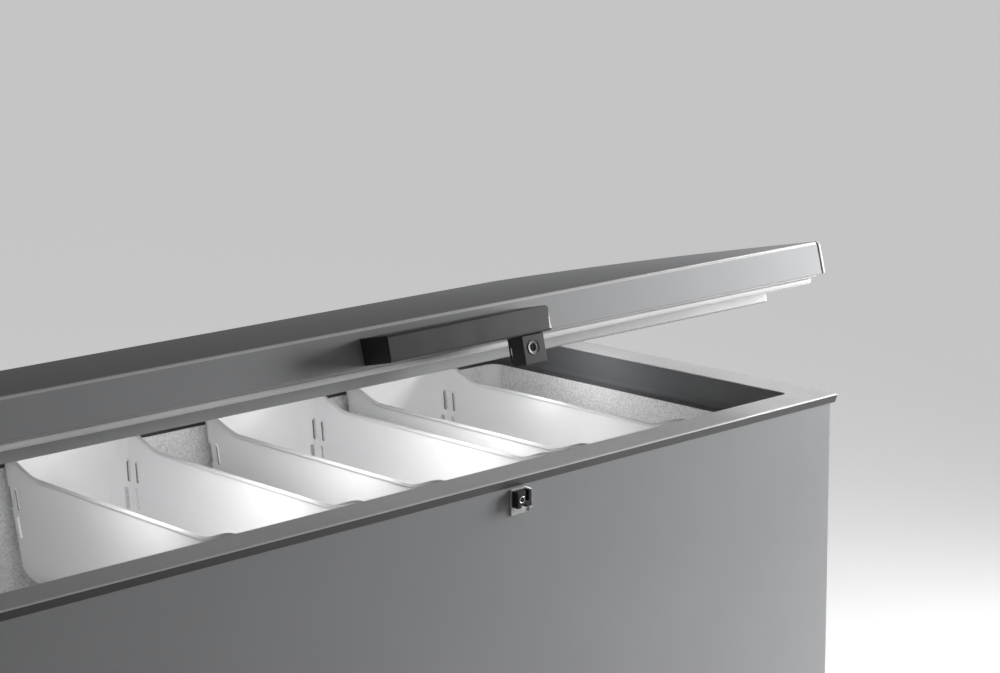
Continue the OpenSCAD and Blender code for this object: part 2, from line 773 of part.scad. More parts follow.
module lock_strike() {
    y1 = shell_in_y;
    top = strike_z + strike_h;
    block_z0 = strike_z + 5;
    block_z1 = -20;
    slot_r = cam_l - cam_pin_r - 1;
    color("#a8aaac") place() translate([0, 0, rim_z]) difference() {
        union() {
            // Back plate with a sloped upper corner
            along_y(y1 - 2.5, y1) polygon([[lock_x - strike_w / 2, strike_z],
                [lock_x + strike_w / 2, strike_z],
                [lock_x + strike_w / 2, top - 12], [lock_x + strike_w / 2 - 8, top],
                [lock_x - strike_w / 2, top]]);
            // Keeper block
            along_y(keeper_y, y1 - 2) polygon([[cyl_x - keeper_w / 2, block_z0 + 6],
                [cyl_x - keeper_w / 2 + 4, block_z0 + 2], [cyl_x + keeper_w / 2, block_z0 + 2],
                [cyl_x + keeper_w / 2, block_z1], [cyl_x - keeper_w / 2, block_z1]]);
        }
        // Curved slot that the cam's pin swings into
        translate([cyl_x, 0, cyl_z]) along_y(keeper_y - 1, keeper_y + pin_reach + 1)
            polygon(concat(arc([0, 0], cam_l + cam_pin_r + 0.8, 250, 350, 16),
                arc([0, 0], slot_r, 350, 250, 16)));
        translate([0, 0, -rim_z]) strike_holes(1.6);
    }
}

module strike_screws() {
    color("gray") place() for (s = strike_spots())
        screw_y(s[0], shell_in_y - 2.5, rim_z + s[1], -1, 8, 1.5);
}

// ---------- hinges ----------

function hinge_xs() = [-hinge_x, hinge_x];

function bracket_spots() = [for (x = hinge_xs(), s = [-1, 1], z = [-48, -96])
    [x + s * (hinge_w / 2 - 12), hinge_z + z]];

module hinge_holes(r) {
    for (s = bracket_spots()) rod_y(cab_d - 20, cab_d + 10, s[0], s[1], r + 0.1);
}

module ear(x0) {
    difference() {
        union() {
            rod_x(x0, x0 + ear_t, hinge_y, hinge_z, knuckle_r);
            along_x(x0, x0 + ear_t) polygon([[back_y + 1, hinge_z + 8], [hinge_y, hinge_z + knuckle_r],
                [hinge_y + knuckle_r, hinge_z], [hinge_y + knuckle_r, hinge_z - 14],
                [back_y + 1, hinge_z - hinge_plate_h + 10]]);
        }
        rod_x(x0 - 1, x0 + ear_t + 1, hinge_y, hinge_z, pin_r + fit);
    }
}

module hinge_brackets() {
    color("#909396") place() for (x = hinge_xs()) difference() {
        union() {
            span([x - hinge_w / 2, back_y + 0.1, hinge_z - hinge_plate_h - 12],
                [x + hinge_w / 2, back_y + 0.1 + hinge_t, hinge_z + 8]);
            for (s = [-hinge_w / 2, hinge_w / 2 - ear_t]) ear(x + s);
        }
        hinge_holes(2.4);
    }
}

module hinge_pins() {
    color("#c0c2c4") place() for (x = hinge_xs()) {
        rod_x(x - hinge_w / 2 - 3, x + hinge_w / 2 + 3, hinge_y, hinge_z, pin_r);
        for (s = [-1, 1]) rod_x(x + s * (hinge_w / 2 + 2) - 1.5, x + s * (hinge_w / 2 + 2) + 1.5,
            hinge_y, hinge_z, pin_r + 1.6);
    }
}

module hinge_springs() {
    span_l = hinge_w - 2 * ear_t - 2 * arm_w - 4;
    n = 10;
    color("#6c6f72") place() for (x = hinge_xs()) {
        coil = [for (i = [0:spring_turns * n]) let (a = -90 + 360 * i / n)
            [x - span_l / 2 + 1 + (span_l - 2) * i / (spring_turns * n), hinge_y + spring_r * sin(a),
                hinge_z + spring_r * cos(a)]];
        // The first leg rests on the bracket
        tube(concat([[coil[0][0], back_y + 0.1 + hinge_t + spring_wire / 2 + 0.1, hinge_z - 34]], coil),
            spring_wire, ref = [1, 0.02, 0.03]);
    }
}

// Arm of a hinge, in the lid's frame with the lid shut
module hinge_arms() {
    y0 = cab_d + 3;
    seat_y = lid_d + 0.1;
    color("#909396") place() lid_pose() for (x = hinge_xs()) {
        difference() {
            union() {
                along_x(x - hinge_w / 2 + ear_t + 0.4, x + hinge_w / 2 - ear_t - 0.4)
                    polygon([[seat_y, skin_z + 2], [seat_y, skin_z + 36], [seat_y + hinge_t, skin_z + 36],
                        [seat_y + hinge_t, skin_z + 2 + hinge_t], [y0 + hinge_t, skin_z + 2 + hinge_t],
                        [y0 + hinge_t, 0], [y0, 0], [y0, skin_z + 2]]);
                for (s = [-1, 1]) translate([x + s * (hinge_w / 2 - ear_t - 0.4 - arm_w / 2), 0, 0]) {
                    along_x(-arm_w / 2, arm_w / 2) polygon([[y0, 1], [y0 + hinge_t, 1],
                        [y0 + hinge_t, -hinge_down + knuckle_r - 1], [hinge_y, -hinge_down],
                        [y0 + 1, -hinge_down - 1]]);
                    rod_x(-arm_w / 2, arm_w / 2, hinge_y, -hinge_down, knuckle_r);
                }
            }
            rod_x(x - hinge_w, x + hinge_w, hinge_y, -hinge_down, pin_r + fit);
            for (s = arm_spots()) rod_y(lid_d - 20, lid_d + 12, s[0], s[1], 2.5);
            // Room for the spring between the two knuckles
            span([x - hinge_w / 2 + ear_t + 0.4 + arm_w, cab_d, -hinge_down - 12],
                [x + hinge_w / 2 - ear_t - 0.4 - arm_w, hinge_y + 20, -hinge_down + 10]);
        }
    }
}

function arm_spots() = [for (x = hinge_xs(), s = [-1, 1]) [x + s * 18, skin_z + 24]];

module hinge_screws() {
    color("gray") place() {
        for (s = bracket_spots()) screw_y(s[0], back_y + 0.1 + hinge_t, s[1], 1, 8, 2);
    }
}

module arm_screws() {
    color("gray") place() lid_pose()
        for (s = arm_spots()) screw_y(s[0], lid_d + 0.1 + hinge_t, s[1], 1, 12, 2);
}

// ---------- lid ----------

module lid_pose() {
    translate([0, hinge_y, hinge_z]) rotate([-lid_open, 0, 0])
        translate([0, -hinge_y, -hinge_z]) translate([0, 0, rim_z]) children();
}

// Height of the lid's outer face at y, t inside it
function crown(y, t) = lid_top - t - lid_crown * pow(1 - y / crown_y, 2);

// Outline of the lid seen from its end, t inside its outer face
function lid_outline(t, z0) =
    let (r = edge_r - t, zf = crown(edge_r, 0) - edge_r, zr = crown(lid_d - edge_r, 0) - edge_r, n = 16)
    concat([[t, z0], [lean + t, zf]], arc([edge_r + lean, zf], r, 170, 95, 4),
        [for (i = [1:n - 1]) let (y = 2 * edge_r + (lid_d - 4 * edge_r) * i / n) [y, crown(y, t)]],
        arc([lid_d - edge_r, zr], r, 85, 5, 4), [[lid_d - t, z0]]);

module lid_slab(t, z0, x) { along_x(-x, x) polygon(lid_outline(t, z0)); }

module lid_skin() {
    flange = 13;
    color("silver") place() lid_pose() difference() {
        lid_slab(0, skin_z, skin_end);
        lid_slab(skin_t, skin_z + skin_t, skin_end + 1);
        span([-skin_end - 1, flange, skin_z - 1], [skin_end + 1, lid_d - flange, skin_z + skin_t + 1]);
        for (s = arm_spots()) rod_y(lid_d - 5, lid_d + 5, s[0], s[1], 2.1);
    }
}

// End cap, with a spigot that fills the skin's open end
module end_cap(s) {
    color("silver") place() lid_pose() {
        x0 = cab_l / 2 - cap_t;
        mirror([s < 0 ? 1 : 0, 0, 0]) {
            along_x(x0, cab_l / 2) polygon(lid_outline(0, skin_z));
            difference() {
                along_x(skin_end - spigot_l, x0 + eps) polygon(lid_outline(spigot_in, skin_z + spigot_in));
                along_x(skin_end - spigot_l - 1, skin_end - 2)
                    polygon(lid_outline(edge_r, skin_z + spigot_in + 3));
            }
        }
    }
}

module lid_end_cap_left() { end_cap(-1); }
module lid_end_cap_right() { end_cap(1); }

module lid_inset(u, r, z0, z1) {
    translate([0, lid_d / 2, z0]) linear_extrude(z1 - z0) rrect(cab_l - 2 * u, lid_d - 2 * u, r);
}

// The inner panel's drop, t inside its face, with a bevelled foot and a sunk field
module plug_drop_shape(t, z1) {
    b = 2.5;
    n = 4;
    difference() {
        union() {
            lid_inset(plug_in + t, plug_r - t, -plug_drop + b + t, z1);
            for (i = [0:3]) let (a = 90 * (i + 0.5) / 4)
                lid_inset(plug_in + t + b * (1 - cos(a)), plug_r - t, -plug_drop + t + b * (1 - sin(a)),
                    -plug_drop + b + t + eps);
        }
        // The field's sloped edge is a run of low steps
        for (i = [0:n - 1])
            lid_inset(plug_in + field_in - t + 8 * i / n, field_r + t - 4 * i / n, -plug_drop - 1,
                -plug_drop + t + field_h * (i + 1) / n);
    }
}

module lid_liner() {
    color("whitesmoke") place() lid_pose() difference() {
        union() {
            plug_drop_shape(0, skin_z + tray_flange);
            lid_inset(30, 20, skin_z, skin_z + tray_flange);
        }
        plug_drop_shape(tray_t, skin_z + tray_flange + 1);
    }
}

module lid_foam() {
    z0 = skin_z + tray_flange + 0.1;
    x = skin_end - spigot_l - 0.2;
    color("khaki") place() lid_pose() difference() {
        union() {
            along_x(-x, x) polygon(lid_outline(skin_t + 0.1, z0));
            plug_drop_shape(tray_t + 0.1, z0 + 1);
        }
        for (s = arm_spots()) rod_y(lid_d - 14, lid_d + 5, s[0], s[1], 2.4);
    }
}

module lid_frame() {
    color("#c4c6c8") place() lid_pose() difference() {
        lid_inset(7, 8, frame_z, skin_z - 0.1);
        lid_inset(plug_in - 0.2, plug_r, frame_z - 1, skin_z + 1);
        // Channel that the gasket's root presses into
        difference() {
            lid_inset(22, 6, frame_z - 1, frame_z + 2);
            lid_inset(29, 6, frame_z - 2, frame_z + 3);
        }
    }
}

module lid_gasket() {
    root = 1.8;
    color("#d8d8d4") place() lid_pose() {
        difference() {
            lid_inset(17, 8, gap + 1.4, frame_z - 0.05);
            lid_inset(34, 6, 0, frame_z + 1);
        }
        difference() {
            lid_inset(20, 7, gap, gap + 1.6);
            lid_inset(31, 6, 0, frame_z);
        }
        difference() {
            lid_inset(22.2, 6, frame_z - 0.5, frame_z + root);
            lid_inset(28.8, 6, frame_z - 1, frame_z + root + 1);
        }
    }
}

// ---------- handle and lock ----------

module handle() {
    t = handle_t;
    z1 = handle_z + handle_h;
    r = 3;
    face = function(z) lean * (z - skin_z) / (crown(edge_r, 0) - edge_r - skin_z) - 0.1;
    color("#4a4d50") place() lid_pose() difference() {
        along_x(-handle_l / 2, handle_l / 2) polygon(concat(
            [[face(handle_z), handle_z], [face(z1), z1]],
            arc([-handle_out + r, z1 - r], r, 90, 180, 4),
            arc([-handle_out + 1.5, handle_z + 1.5], 1.5, 180, 270, 2)));
        // Finger space under the grip, left of the lock
        along_x(-handle_l / 2 + t, lock_x - lock_w / 2 - t) grip_space();
        along_x(lock_x + lock_w / 2 + t, handle_l / 2 - t) grip_space();
        // Pocket for the lock's neck
        span([lock_x - lock_w / 2 + 2, -handle_out + t, handle_z - 1],
            [lock_x + lock_w / 2 - 2, -handle_out + lock_d - 1, z1 - t - 4]);
    }
}

module grip_space() {
    t = handle_t;
    z1 = handle_z + handle_h - t;
    polygon(concat([[-t, handle_z - 1], [-t, z1 - 8]], arc([-t - 8, z1 - 8], 8, 0, 90, 4),
        arc([-handle_out + t + 4, z1 - 4], 4, 90, 180, 3), [[-handle_out + t, handle_z - 1]]));
}

module lock_housing() {
    y0 = -handle_out;
    y1 = y0 + lock_d;
    z1 = handle_z - 0.1;
    color("#2e3033") place() lid_pose() difference() {
        union() {
            along_x(lock_x - lock_w / 2, lock_x + lock_w / 2) polygon([[y0, lock_z], [y1 - 6, lock_z],
                [y1, lock_z + 9], [y1, z1], [y0, z1]]);
            span([lock_x - lock_w / 2 + 2.2, y0 + handle_t + 0.2, z1 - 1],
                [lock_x + lock_w / 2 - 2.2, y1 - 1.2, handle_z + handle_h - handle_t - 4.2]);
        }
        rod_y(y0 - 1, y1 + 1, cyl_x, cyl_z, lock_r + fit);
        // Slim slots through the cheeks
        for (x = [lock_x - lock_w / 2 - 1, cyl_x + lock_r + 2])
            along_x(x, x + cyl_x - lock_x + lock_w / 2 - lock_r - 1) translate([y1 - 5.5, cyl_z - 4])
                rrect(3.6, 15, 1.7);
    }
}

module lock_cylinder() {
    y0 = -handle_out - 1;
    color("#b4b6b8") place() lid_pose() difference() {
        union() {
            rod_y(y0, cam_y - 0.1, cyl_x, cyl_z, lock_r);
            rod_y(cam_y - 1, cam_y + cam_t + 1.2, cyl_x, cyl_z, 4);
        }
        translate([cyl_x - 0.7, y0 - 1, cyl_z - 3.6]) cube([1.4, 9, 7.2]);
        // Dished face round the keyway
        translate([cyl_x, y0 - eps, cyl_z]) rotate([-90, 0, 0]) difference() {
            cylinder(h = 0.8, r = 7.4);
            translate([0, 0, -1]) cylinder(h = 3, r = 4.6);
        }
    }
}

// Cam in its open position, pointing to the right
module lock_cam() {
    color("#9a9c9e") place() lid_pose() translate([cyl_x, 0, cyl_z]) difference() {
        union() {
            along_y(cam_y, cam_y + cam_t) polygon(concat(arc([0, 0], 8, 90, 270, 8),
                arc([cam_l - 1, 0], 4.4, -90, 90, 6)));
            translate([cam_l - 0.5, cam_y + cam_t - eps, 0]) rotate([-90, 0, 0])
                cylinder(h = 2 + pin_reach, r = cam_pin_r);
        }
        rod_y(cam_y - 1, cam_y + cam_t + 1, 0, 0, 4.05);
    }
}

// ---------- bins ----------

bin_y0 = liner_in + gap + 2.5;
bin_l = cab_d - 2 * bin_y0;

// Depth of a bin's rim below the cabinet's rim at y
function smooth(t) = t * t * (3 - 2 * t);
function bin_rim(y) =
    let (e = abs(y - cab_d / 2), a = bin_l / 2 - 94, b = bin_l / 2 - 25,
        t = min(max((e - a) / (b - a), 0), 1))
    -bin_low + (bin_low - bin_high) * smooth(t);

// Tapered body of a bin, t inside its face
module bin_body(t, z1) {
    w = bin_w / 2 - bead_t;
    l = bin_l / 2 - bead_t;
    hull() {
        for (x = [-1, 1], y = [-1, 1]) {
            translate([x * (w - 16), y * (l - 16), z1 - 1]) cylinder(h = 1, r = 16 - t, $fn = 24);
            translate([x * (w - bin_foot_r - bin_draft[0]), y * (l - bin_foot_r - bin_draft[1]),
                -bin_high - bin_h + bin_foot_r]) sphere(r = bin_foot_r - t, $fn = 24);
        }
    }
}

module bin_band(z0, z1) {
    ys = [for (i = [0:40]) -bin_l / 2 - 5 + (bin_l + 10) * i / 40];
    along_x(-bin_w, bin_w) polygon(concat(
        [for (y = ys) [y, bin_rim(y + cab_d / 2) + z1]],
        [for (i = [40:-1:0]) [ys[i], z0 < -500 ? z0 : bin_rim(ys[i] + cab_d / 2) + z0]]));
}

module bin(x) {
    z1 = -bin_high;
    hook_y = bin_l / 2 - bead_t;
    reach = cab_d / 2 - rim_w - fillet_r - 2 * gap;
    color("white") place() translate([x, cab_d / 2, rim_z]) {
        difference() {
            union() {
                intersection() {
                    difference() {
                        bin_body(0, z1);
                        bin_body(bin_t, z1 + 1);
                    }
                    bin_band(-1000, 0);
                }
                // Bead along the rim
                intersection() {
                    difference() {
                        bin_body(-bead_t, z1);
                        bin_body(bin_t, z1 + 1);
                    }
                    bin_band(-5, 0);
                }
                // Hooks that hang on the ledge
                for (s = [-1, 1]) {
                    span_y(s, hook_y, reach, bin_w * 0.3, z1 - bin_t, z1);
                    span_y(s, reach - bin_t, reach, bin_w * 0.3, -collar_h + gap, z1);
                }
            }
            // Two rows of two slots near each end
            for (s = [-1, 1], i = [0, 1], row = [0, 1])
                translate([0, s * (bin_l / 2 - bead_t - bin_slot_y[i]), -75 - 38 * row])
                    rotate([s * -8, 0, 0]) along_x(-bin_w, bin_w) rrect(5, 30, 2.4, 3);
        }
    }
}

module span_y(s, y0, y1, w, z0, z1) {
    span([-w, min(s * y0, s * y1), z0], [w, max(s * y0, s * y1), z1]);
}

module bin_left() { bin(bin_x[0]); }
module bin_middle() { bin(bin_x[1]); }
module bin_right() { bin(bin_x[2]); }

// ---------- casters ----------

function caster_spot(sx, sy) = [sx * caster_x, sy < 0 ? caster_in : cab_d - caster_in, 0];

module at_caster(sx, sy) { place() translate(caster_spot(sx, sy)) children(); }

module caster_plates() {
    color("#b0b2b4") for (sx = [-1, 1], sy = [-1, 1]) at_caster(sx, sy) {
        difference() {
            translate([0, 0, caster_h - plate_t]) linear_extrude(plate_t) rrect(84, 64, 8);
            for (x = [-1, 1], y = [-1, 1]) rod_z(caster_h - 5, caster_h + 1, 33 * x, 23 * y, 3.6);
        }
        rod_z(fork_z + gap, caster_h - plate_t + eps, 0, 0, 21);
        rod_z(fork_z - 5, caster_h - plate_t, 0, 0, 5);
        rod_z(fork_z - 7, fork_z - 3.2, 0, 0, 8);
        for (x = [-1, 1], y = [-1, 1])
            rod_z(caster_h - plate_t - 3, caster_h - plate_t - 0.1, 33 * x, 23 * y, 6, $fn = 6);
    }
}

module caster_fork(sx, sy) {
    half = wheel_w / 2 + 3;
    color("#b0b2b4") at_caster(sx, sy) {
        difference() {
            union() {
                rod_z(fork_z - 3, fork_z, 0, 0, 23);
                for (s = [-1, 1]) translate([s * (half + fork_t / 2), 0, 0])
                    along_x(-fork_t / 2, fork_t / 2) polygon(concat([[-15, fork_z - 1], [-17, fork_z - 12]],
                        arc([trail, wheel_r], 8, 200, 360, 8), [[20, fork_z - 8], [17, fork_z - 1]]));
                // Pin that the brake's pedal turns on
                if (sy < 0) rod_x(-half - fork_t, half + fork_t, brake_y, brake_z, 1.55);
                // Axle rivet with its two heads
                rod_x(-half - fork_t, half + fork_t, trail, wheel_r, 4);
                for (s = [-1, 1]) rod_x(s * (half + fork_t + 1) - 1.2, s * (half + fork_t + 1) + 1.2,
                    trail, wheel_r, 6.5);
            }
            rod_z(fork_z - 4, fork_z + 1, 0, 0, 5.06);
        }
    }
}

module caster_fork_front_left() { caster_fork(-1, -1); }
module caster_fork_front_right() { caster_fork(1, -1); }
module caster_fork_rear_left() { caster_fork(-1, 1); }
module caster_fork_rear_right() { caster_fork(1, 1); }

module caster_wheel(sx, sy) {
    w = wheel_w / 2;
    color("#232426") at_caster(sx, sy) translate([0, trail, wheel_r]) rotate([0, 90, 0])
        rotate_extrude($fn = 72) polygon([[4.06, -w - 2], [8, -w - 2], [8, -w + 3], [wheel_r - 8, -w + 3],
            [wheel_r - 6, -w], [wheel_r - 2, -w], [wheel_r, -w + 2], [wheel_r, w - 2], [wheel_r - 2, w],
            [wheel_r - 6, w], [wheel_r - 8, w - 3], [8, w - 3], [8, w + 2], [4.06, w + 2]]);
}

module caster_wheel_front_left() { caster_wheel(-1, -1); }
module caster_wheel_front_right() { caster_wheel(1, -1); }
module caster_wheel_rear_left() { caster_wheel(-1, 1); }
module caster_wheel_rear_right() { caster_wheel(1, 1); }

module caster_brake(sx) {
    half = wheel_w / 2 + 3 - gap;
    color("#a03028") at_caster(sx, -1) difference() {
        union() {
            rod_x(-half, half, brake_y, brake_z, 2.8);
            along_x(-half, half) polygon([[brake_y, brake_z + 2.6], [brake_y + 10, brake_z + 2],
                [brake_y + 27, brake_z - 6], [brake_y + 29, brake_z - 9], [brake_y + 26, brake_z - 9.5],
                [brake_y + 10, brake_z - 1.5], [brake_y, brake_z - 1]]);
            // Ribs of the tread
            for (k = [0:3]) rod_x(-half + 2, half - 2, brake_y + 14 + 4 * k, brake_z + 0.2 - 1.9 * k, 0.9);
        }
        rod_x(-half - 1, half + 1, brake_y, brake_z, 1.6);
    }
}

module caster_brake_left() { caster_brake(-1); }
module caster_brake_right() { caster_brake(1); }

// ---------- nodes ----------

outer_shell();
rear_panel();
bottom_pan();
rim_frame();
inner_collar();
inner_liner();
cabinet_foam();
evaporator_coil();
condenser_coil();
compressor();
compressor_plate();
compressor_grommets();
start_relay();
filter_drier();
refrigerant_pipes();
side_grille();
rear_cover();
panel_screws();
control_panel();
thermostat_body();
thermostat_knob();
indicator_lights();
power_inlet();
drain_tube();
drain_plug();
lock_strike();
strike_screws();
hinge_brackets();
hinge_pins();
hinge_springs();
hinge_arms();
hinge_screws();
arm_screws();
lid_skin();
lid_end_cap_left();
lid_end_cap_right();
lid_foam();
lid_liner();
lid_frame();
lid_gasket();
handle();
lock_housing();
lock_cylinder();
lock_cam();
bin_left();
bin_middle();
bin_right();
caster_plates();
caster_fork_front_left();
caster_fork_front_right();
caster_fork_rear_left();
caster_fork_rear_right();
caster_wheel_front_left();
caster_wheel_front_right();
caster_wheel_rear_left();
caster_wheel_rear_right();
caster_brake_left();
caster_brake_right();
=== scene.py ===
"""Looks of a chest freezer whose lid stands open over three hanging bins.

Everything is in metres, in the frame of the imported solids. Pieces of the lid are
built with the lid shut and then turned to the angle at which it rests.
"""

import json
import logging
import math
from collections.abc import Callable, Iterable
from dataclasses import dataclass, field
from enum import Enum
from typing import Self

import bmesh
import bpy
from mathutils import Matrix, Vector


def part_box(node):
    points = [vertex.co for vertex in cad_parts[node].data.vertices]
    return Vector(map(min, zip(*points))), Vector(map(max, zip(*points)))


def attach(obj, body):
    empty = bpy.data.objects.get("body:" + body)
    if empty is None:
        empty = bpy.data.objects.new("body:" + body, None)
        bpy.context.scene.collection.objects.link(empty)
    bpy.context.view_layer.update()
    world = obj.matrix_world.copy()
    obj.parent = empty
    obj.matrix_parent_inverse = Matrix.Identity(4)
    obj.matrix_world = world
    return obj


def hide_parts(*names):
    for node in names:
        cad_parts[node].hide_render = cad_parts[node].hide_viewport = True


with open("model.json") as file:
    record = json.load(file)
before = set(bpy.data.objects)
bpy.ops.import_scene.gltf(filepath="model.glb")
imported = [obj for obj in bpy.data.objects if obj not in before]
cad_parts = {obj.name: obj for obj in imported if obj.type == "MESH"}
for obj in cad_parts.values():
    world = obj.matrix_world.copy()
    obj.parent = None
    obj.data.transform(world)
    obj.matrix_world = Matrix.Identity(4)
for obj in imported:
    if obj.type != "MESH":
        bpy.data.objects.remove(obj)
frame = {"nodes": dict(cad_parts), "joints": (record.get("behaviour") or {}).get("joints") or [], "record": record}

log = logging.getLogger("chest_freezer")
logging.basicConfig(level=logging.INFO, format="%(message)s")

MM = 0.001
TINY = 2e-5
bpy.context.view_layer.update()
Pair = tuple[float, float]
Triple = tuple[float, float, float]


# ---------------------------------------------------------------- finishes


class Tree:
    """Shader tree of one finish, with its patterns laid on Object coordinates."""

    def __init__(self, name: str) -> None:
        """Starts a material that holds a Principled shader.

        Args:
            name: Name of the material.
        """
        self.material = bpy.data.materials.new(name)
        self.material.use_nodes = True
        self.nodes = self.material.node_tree.nodes
        self.links = self.material.node_tree.links
        self.shader = self.nodes["Principled BSDF"]
        self.place = self.nodes.new("ShaderNodeTexCoord").outputs["Object"]
        self.height: bpy.types.NodeSocket | None = None

    def add(self, kind: str, **settings: object) -> bpy.types.Node:
        """Adds a node, sets its properties and gives it back."""
        node = self.nodes.new("ShaderNode" + kind)
        for key, value in settings.items():
            setattr(node, key, value)
        return node

    def stretched(self, size: float, stretch: Triple) -> bpy.types.NodeSocket:
        """Gives the coordinates of a pattern.

        Args:
            size: Size of one feature, in metres.
            stretch: How many times longer the feature is along X, Y and Z.

        Returns:
            The output of a Mapping node.
        """
        mapping = self.add("Mapping")
        mapping.inputs["Scale"].default_value = [1 / size / s for s in stretch]
        self.links.new(self.place, mapping.inputs["Vector"])
        return mapping.outputs["Vector"]

    def noise(self, size: float, detail: float = 2.0, stretch: Triple = (1, 1, 1)) -> bpy.types.NodeSocket:
        """Adds soft noise.

        Args:
            size: Size of one cloud, in metres.
            detail: Octaves of finer noise.
            stretch: How much longer the clouds are along X, Y and Z.

        Returns:
            The value from 0 to 1.
        """
        node = self.add("TexNoise")
        node.inputs["Scale"].default_value = 1
        node.inputs["Detail"].default_value = detail
        self.links.new(self.stretched(size, stretch), node.inputs["Vector"])
        return node.outputs["Fac"]

    def cells(self, size: float, smooth: float = 0.4) -> bpy.types.NodeSocket:
        """Adds rounded cells.

        Args:
            size: Size of one cell, in metres.
            smooth: How soft the walls between the cells are.

        Returns:
            The distance from each cell's middle.
        """
        node = self.add("TexVoronoi", feature="SMOOTH_F1")
        node.inputs["Scale"].default_value = 1
        node.inputs["Smoothness"].default_value = smooth
        self.links.new(self.stretched(size, (1, 1, 1)), node.inputs["Vector"])
        return node.outputs["Distance"]

    def between(self, value: bpy.types.NodeSocket, low: float, high: float,
                start: float = 0.3, end: float = 0.7) -> bpy.types.NodeSocket:
        """Carries a value from one range to another.

        Args:
            value: The value to carry over.
            low: Result at the start.
            high: Result at the end.
            start: Value at which the result is low.
            end: Value at which the result is high.

        Returns:
            The new value.
        """
        node = self.add("MapRange")
        for key, number in (("From Min", start), ("From Max", end), ("To Min", low), ("To Max", high)):
            node.inputs[key].default_value = number
        self.links.new(value, node.inputs["Value"])
        return node.outputs["Result"]

    def tint(self, factor: bpy.types.NodeSocket, first: Triple, second: Triple) -> bpy.types.NodeSocket:
        """Mixes two colours by a factor and gives the mix."""
        node = self.add("Mix", data_type="RGBA")
        node.inputs["A"].default_value = (*first, 1)
        node.inputs["B"].default_value = (*second, 1)
        self.links.new(factor, node.inputs["Factor"])
        return node.outputs["Result"]

    def relief(self, value: bpy.types.NodeSocket, depth: float) -> None:
        """Adds a layer of relief over those there already.

        Args:
            value: Height from 0 to 1.
            depth: Height of the relief, in metres.
        """
        bump = self.add("Bump")
        bump.inputs["Strength"].default_value = 1
        bump.inputs["Distance"].default_value = depth
        self.links.new(value, bump.inputs["Height"])
        if self.height is not None:
            self.links.new(self.height, bump.inputs["Normal"])
        self.height = bump.outputs["Normal"]
        self.links.new(self.height, self.shader.inputs["Normal"])

    def feed(self, value: bpy.types.NodeSocket, socket: str) -> None:
        """Links a varying value to one of the shader's sockets."""
        self.links.new(value, self.shader.inputs[socket])


@dataclass(frozen=True)
class Finish:
    """A surface: colour, gloss, and how far both of them wander over it."""

    slot: str
    colour: Triple
    roughness: float = 0.4
    wander: float = 0.06
    mottle: float = 0.05
    mottle_size: float = 0.12
    metallic: float = 0.0
    coat: float = 0.0
    coat_roughness: float = 0.12
    level: float = 0.5

    def material(self) -> bpy.types.Material:
        """Makes the material once and gives the same one from then on."""
        found = bpy.data.materials.get("finish_" + self.slot)
        if found:
            return found
        tree = Tree("finish_" + self.slot)
        shader = tree.shader.inputs
        shader["Metallic"].default_value = self.metallic
        shader["Coat Weight"].default_value = self.coat
        shader["Coat Roughness"].default_value = self.coat_roughness
        shader["Specular IOR Level"].default_value = self.level
        clouds = tree.noise(self.mottle_size, detail=3)
        dark = tuple(c * (1 - self.mottle) for c in self.colour)
        light = tuple(min(1.0, c * (1 + self.mottle)) for c in self.colour)
        tree.feed(tree.tint(tree.between(clouds, 0, 1), dark, light), "Base Color")
        rough = tree.between(tree.noise(self.mottle_size / 4, detail=4),
                             self.roughness - self.wander, self.roughness + self.wander)
        tree.feed(rough, "Roughness")
        self.texture(tree)
        return tree.material

    def texture(self, tree: Tree) -> None:
        """Adds the relief of this kind of surface; a plain one is only very slightly wavy."""
        tree.relief(tree.noise(size=30 * MM, detail=2), depth=0.02 * MM)


@dataclass(frozen=True)
class SatinPaint(Finish):
    """Baked powder paint on sheet steel, with its fine orange peel."""

    peel: float = 1.6 * MM

    def texture(self, tree: Tree) -> None:
        """Adds the peel and the sheet's slow waves."""
        tree.relief(tree.noise(size=350 * MM, detail=1), depth=0.25 * MM)
        tree.relief(tree.noise(self.peel, detail=2), depth=0.012 * MM)


@dataclass(frozen=True)
class EmbossedSheet(Finish):
    """Aluminium sheet rolled with a pebbled pattern."""

    pebble: float = 5.5 * MM
    depth: float = 0.7 * MM
    hollow_painted_shade: float = 0.87
    crest_painted_light: float = 1.12

    def texture(self, tree: Tree) -> None:
        """Adds the sheet's slow waves, the pebbles and the worm-like hollows between them, with painted shade in
        the hollows and painted light on the crests.
        """
        tree.relief(tree.noise(size=400 * MM, detail=1), depth=0.3 * MM)
        pebbles = tree.cells(self.pebble, smooth=0.5)
        worms = tree.noise(self.pebble * 0.55, detail=2)
        tree.relief(pebbles, self.depth)
        tree.relief(worms, self.depth)
        # Painted shade in the hollows and painted light on the crests, following the worm relief.
        hollow = tuple(c * self.hollow_painted_shade for c in self.colour)
        crest = tuple(min(1.0, c * self.crest_painted_light) for c in self.colour)
        tree.feed(tree.tint(tree.between(worms, 0, 1, start=0.36, end=0.6), hollow, crest), "Base Color")


@dataclass(frozen=True)
class MouldedPlastic(Finish):
    """Injection-moulded plastic with a spark-eroded grain."""

    grain: float = 0.7 * MM
    depth: float = 0.03 * MM

    def texture(self, tree: Tree) -> None:
        """Adds the grain and slight sink marks."""
        tree.relief(tree.noise(size=50 * MM, detail=1), depth=0.05 * MM)
        tree.relief(tree.cells(self.grain), self.depth)


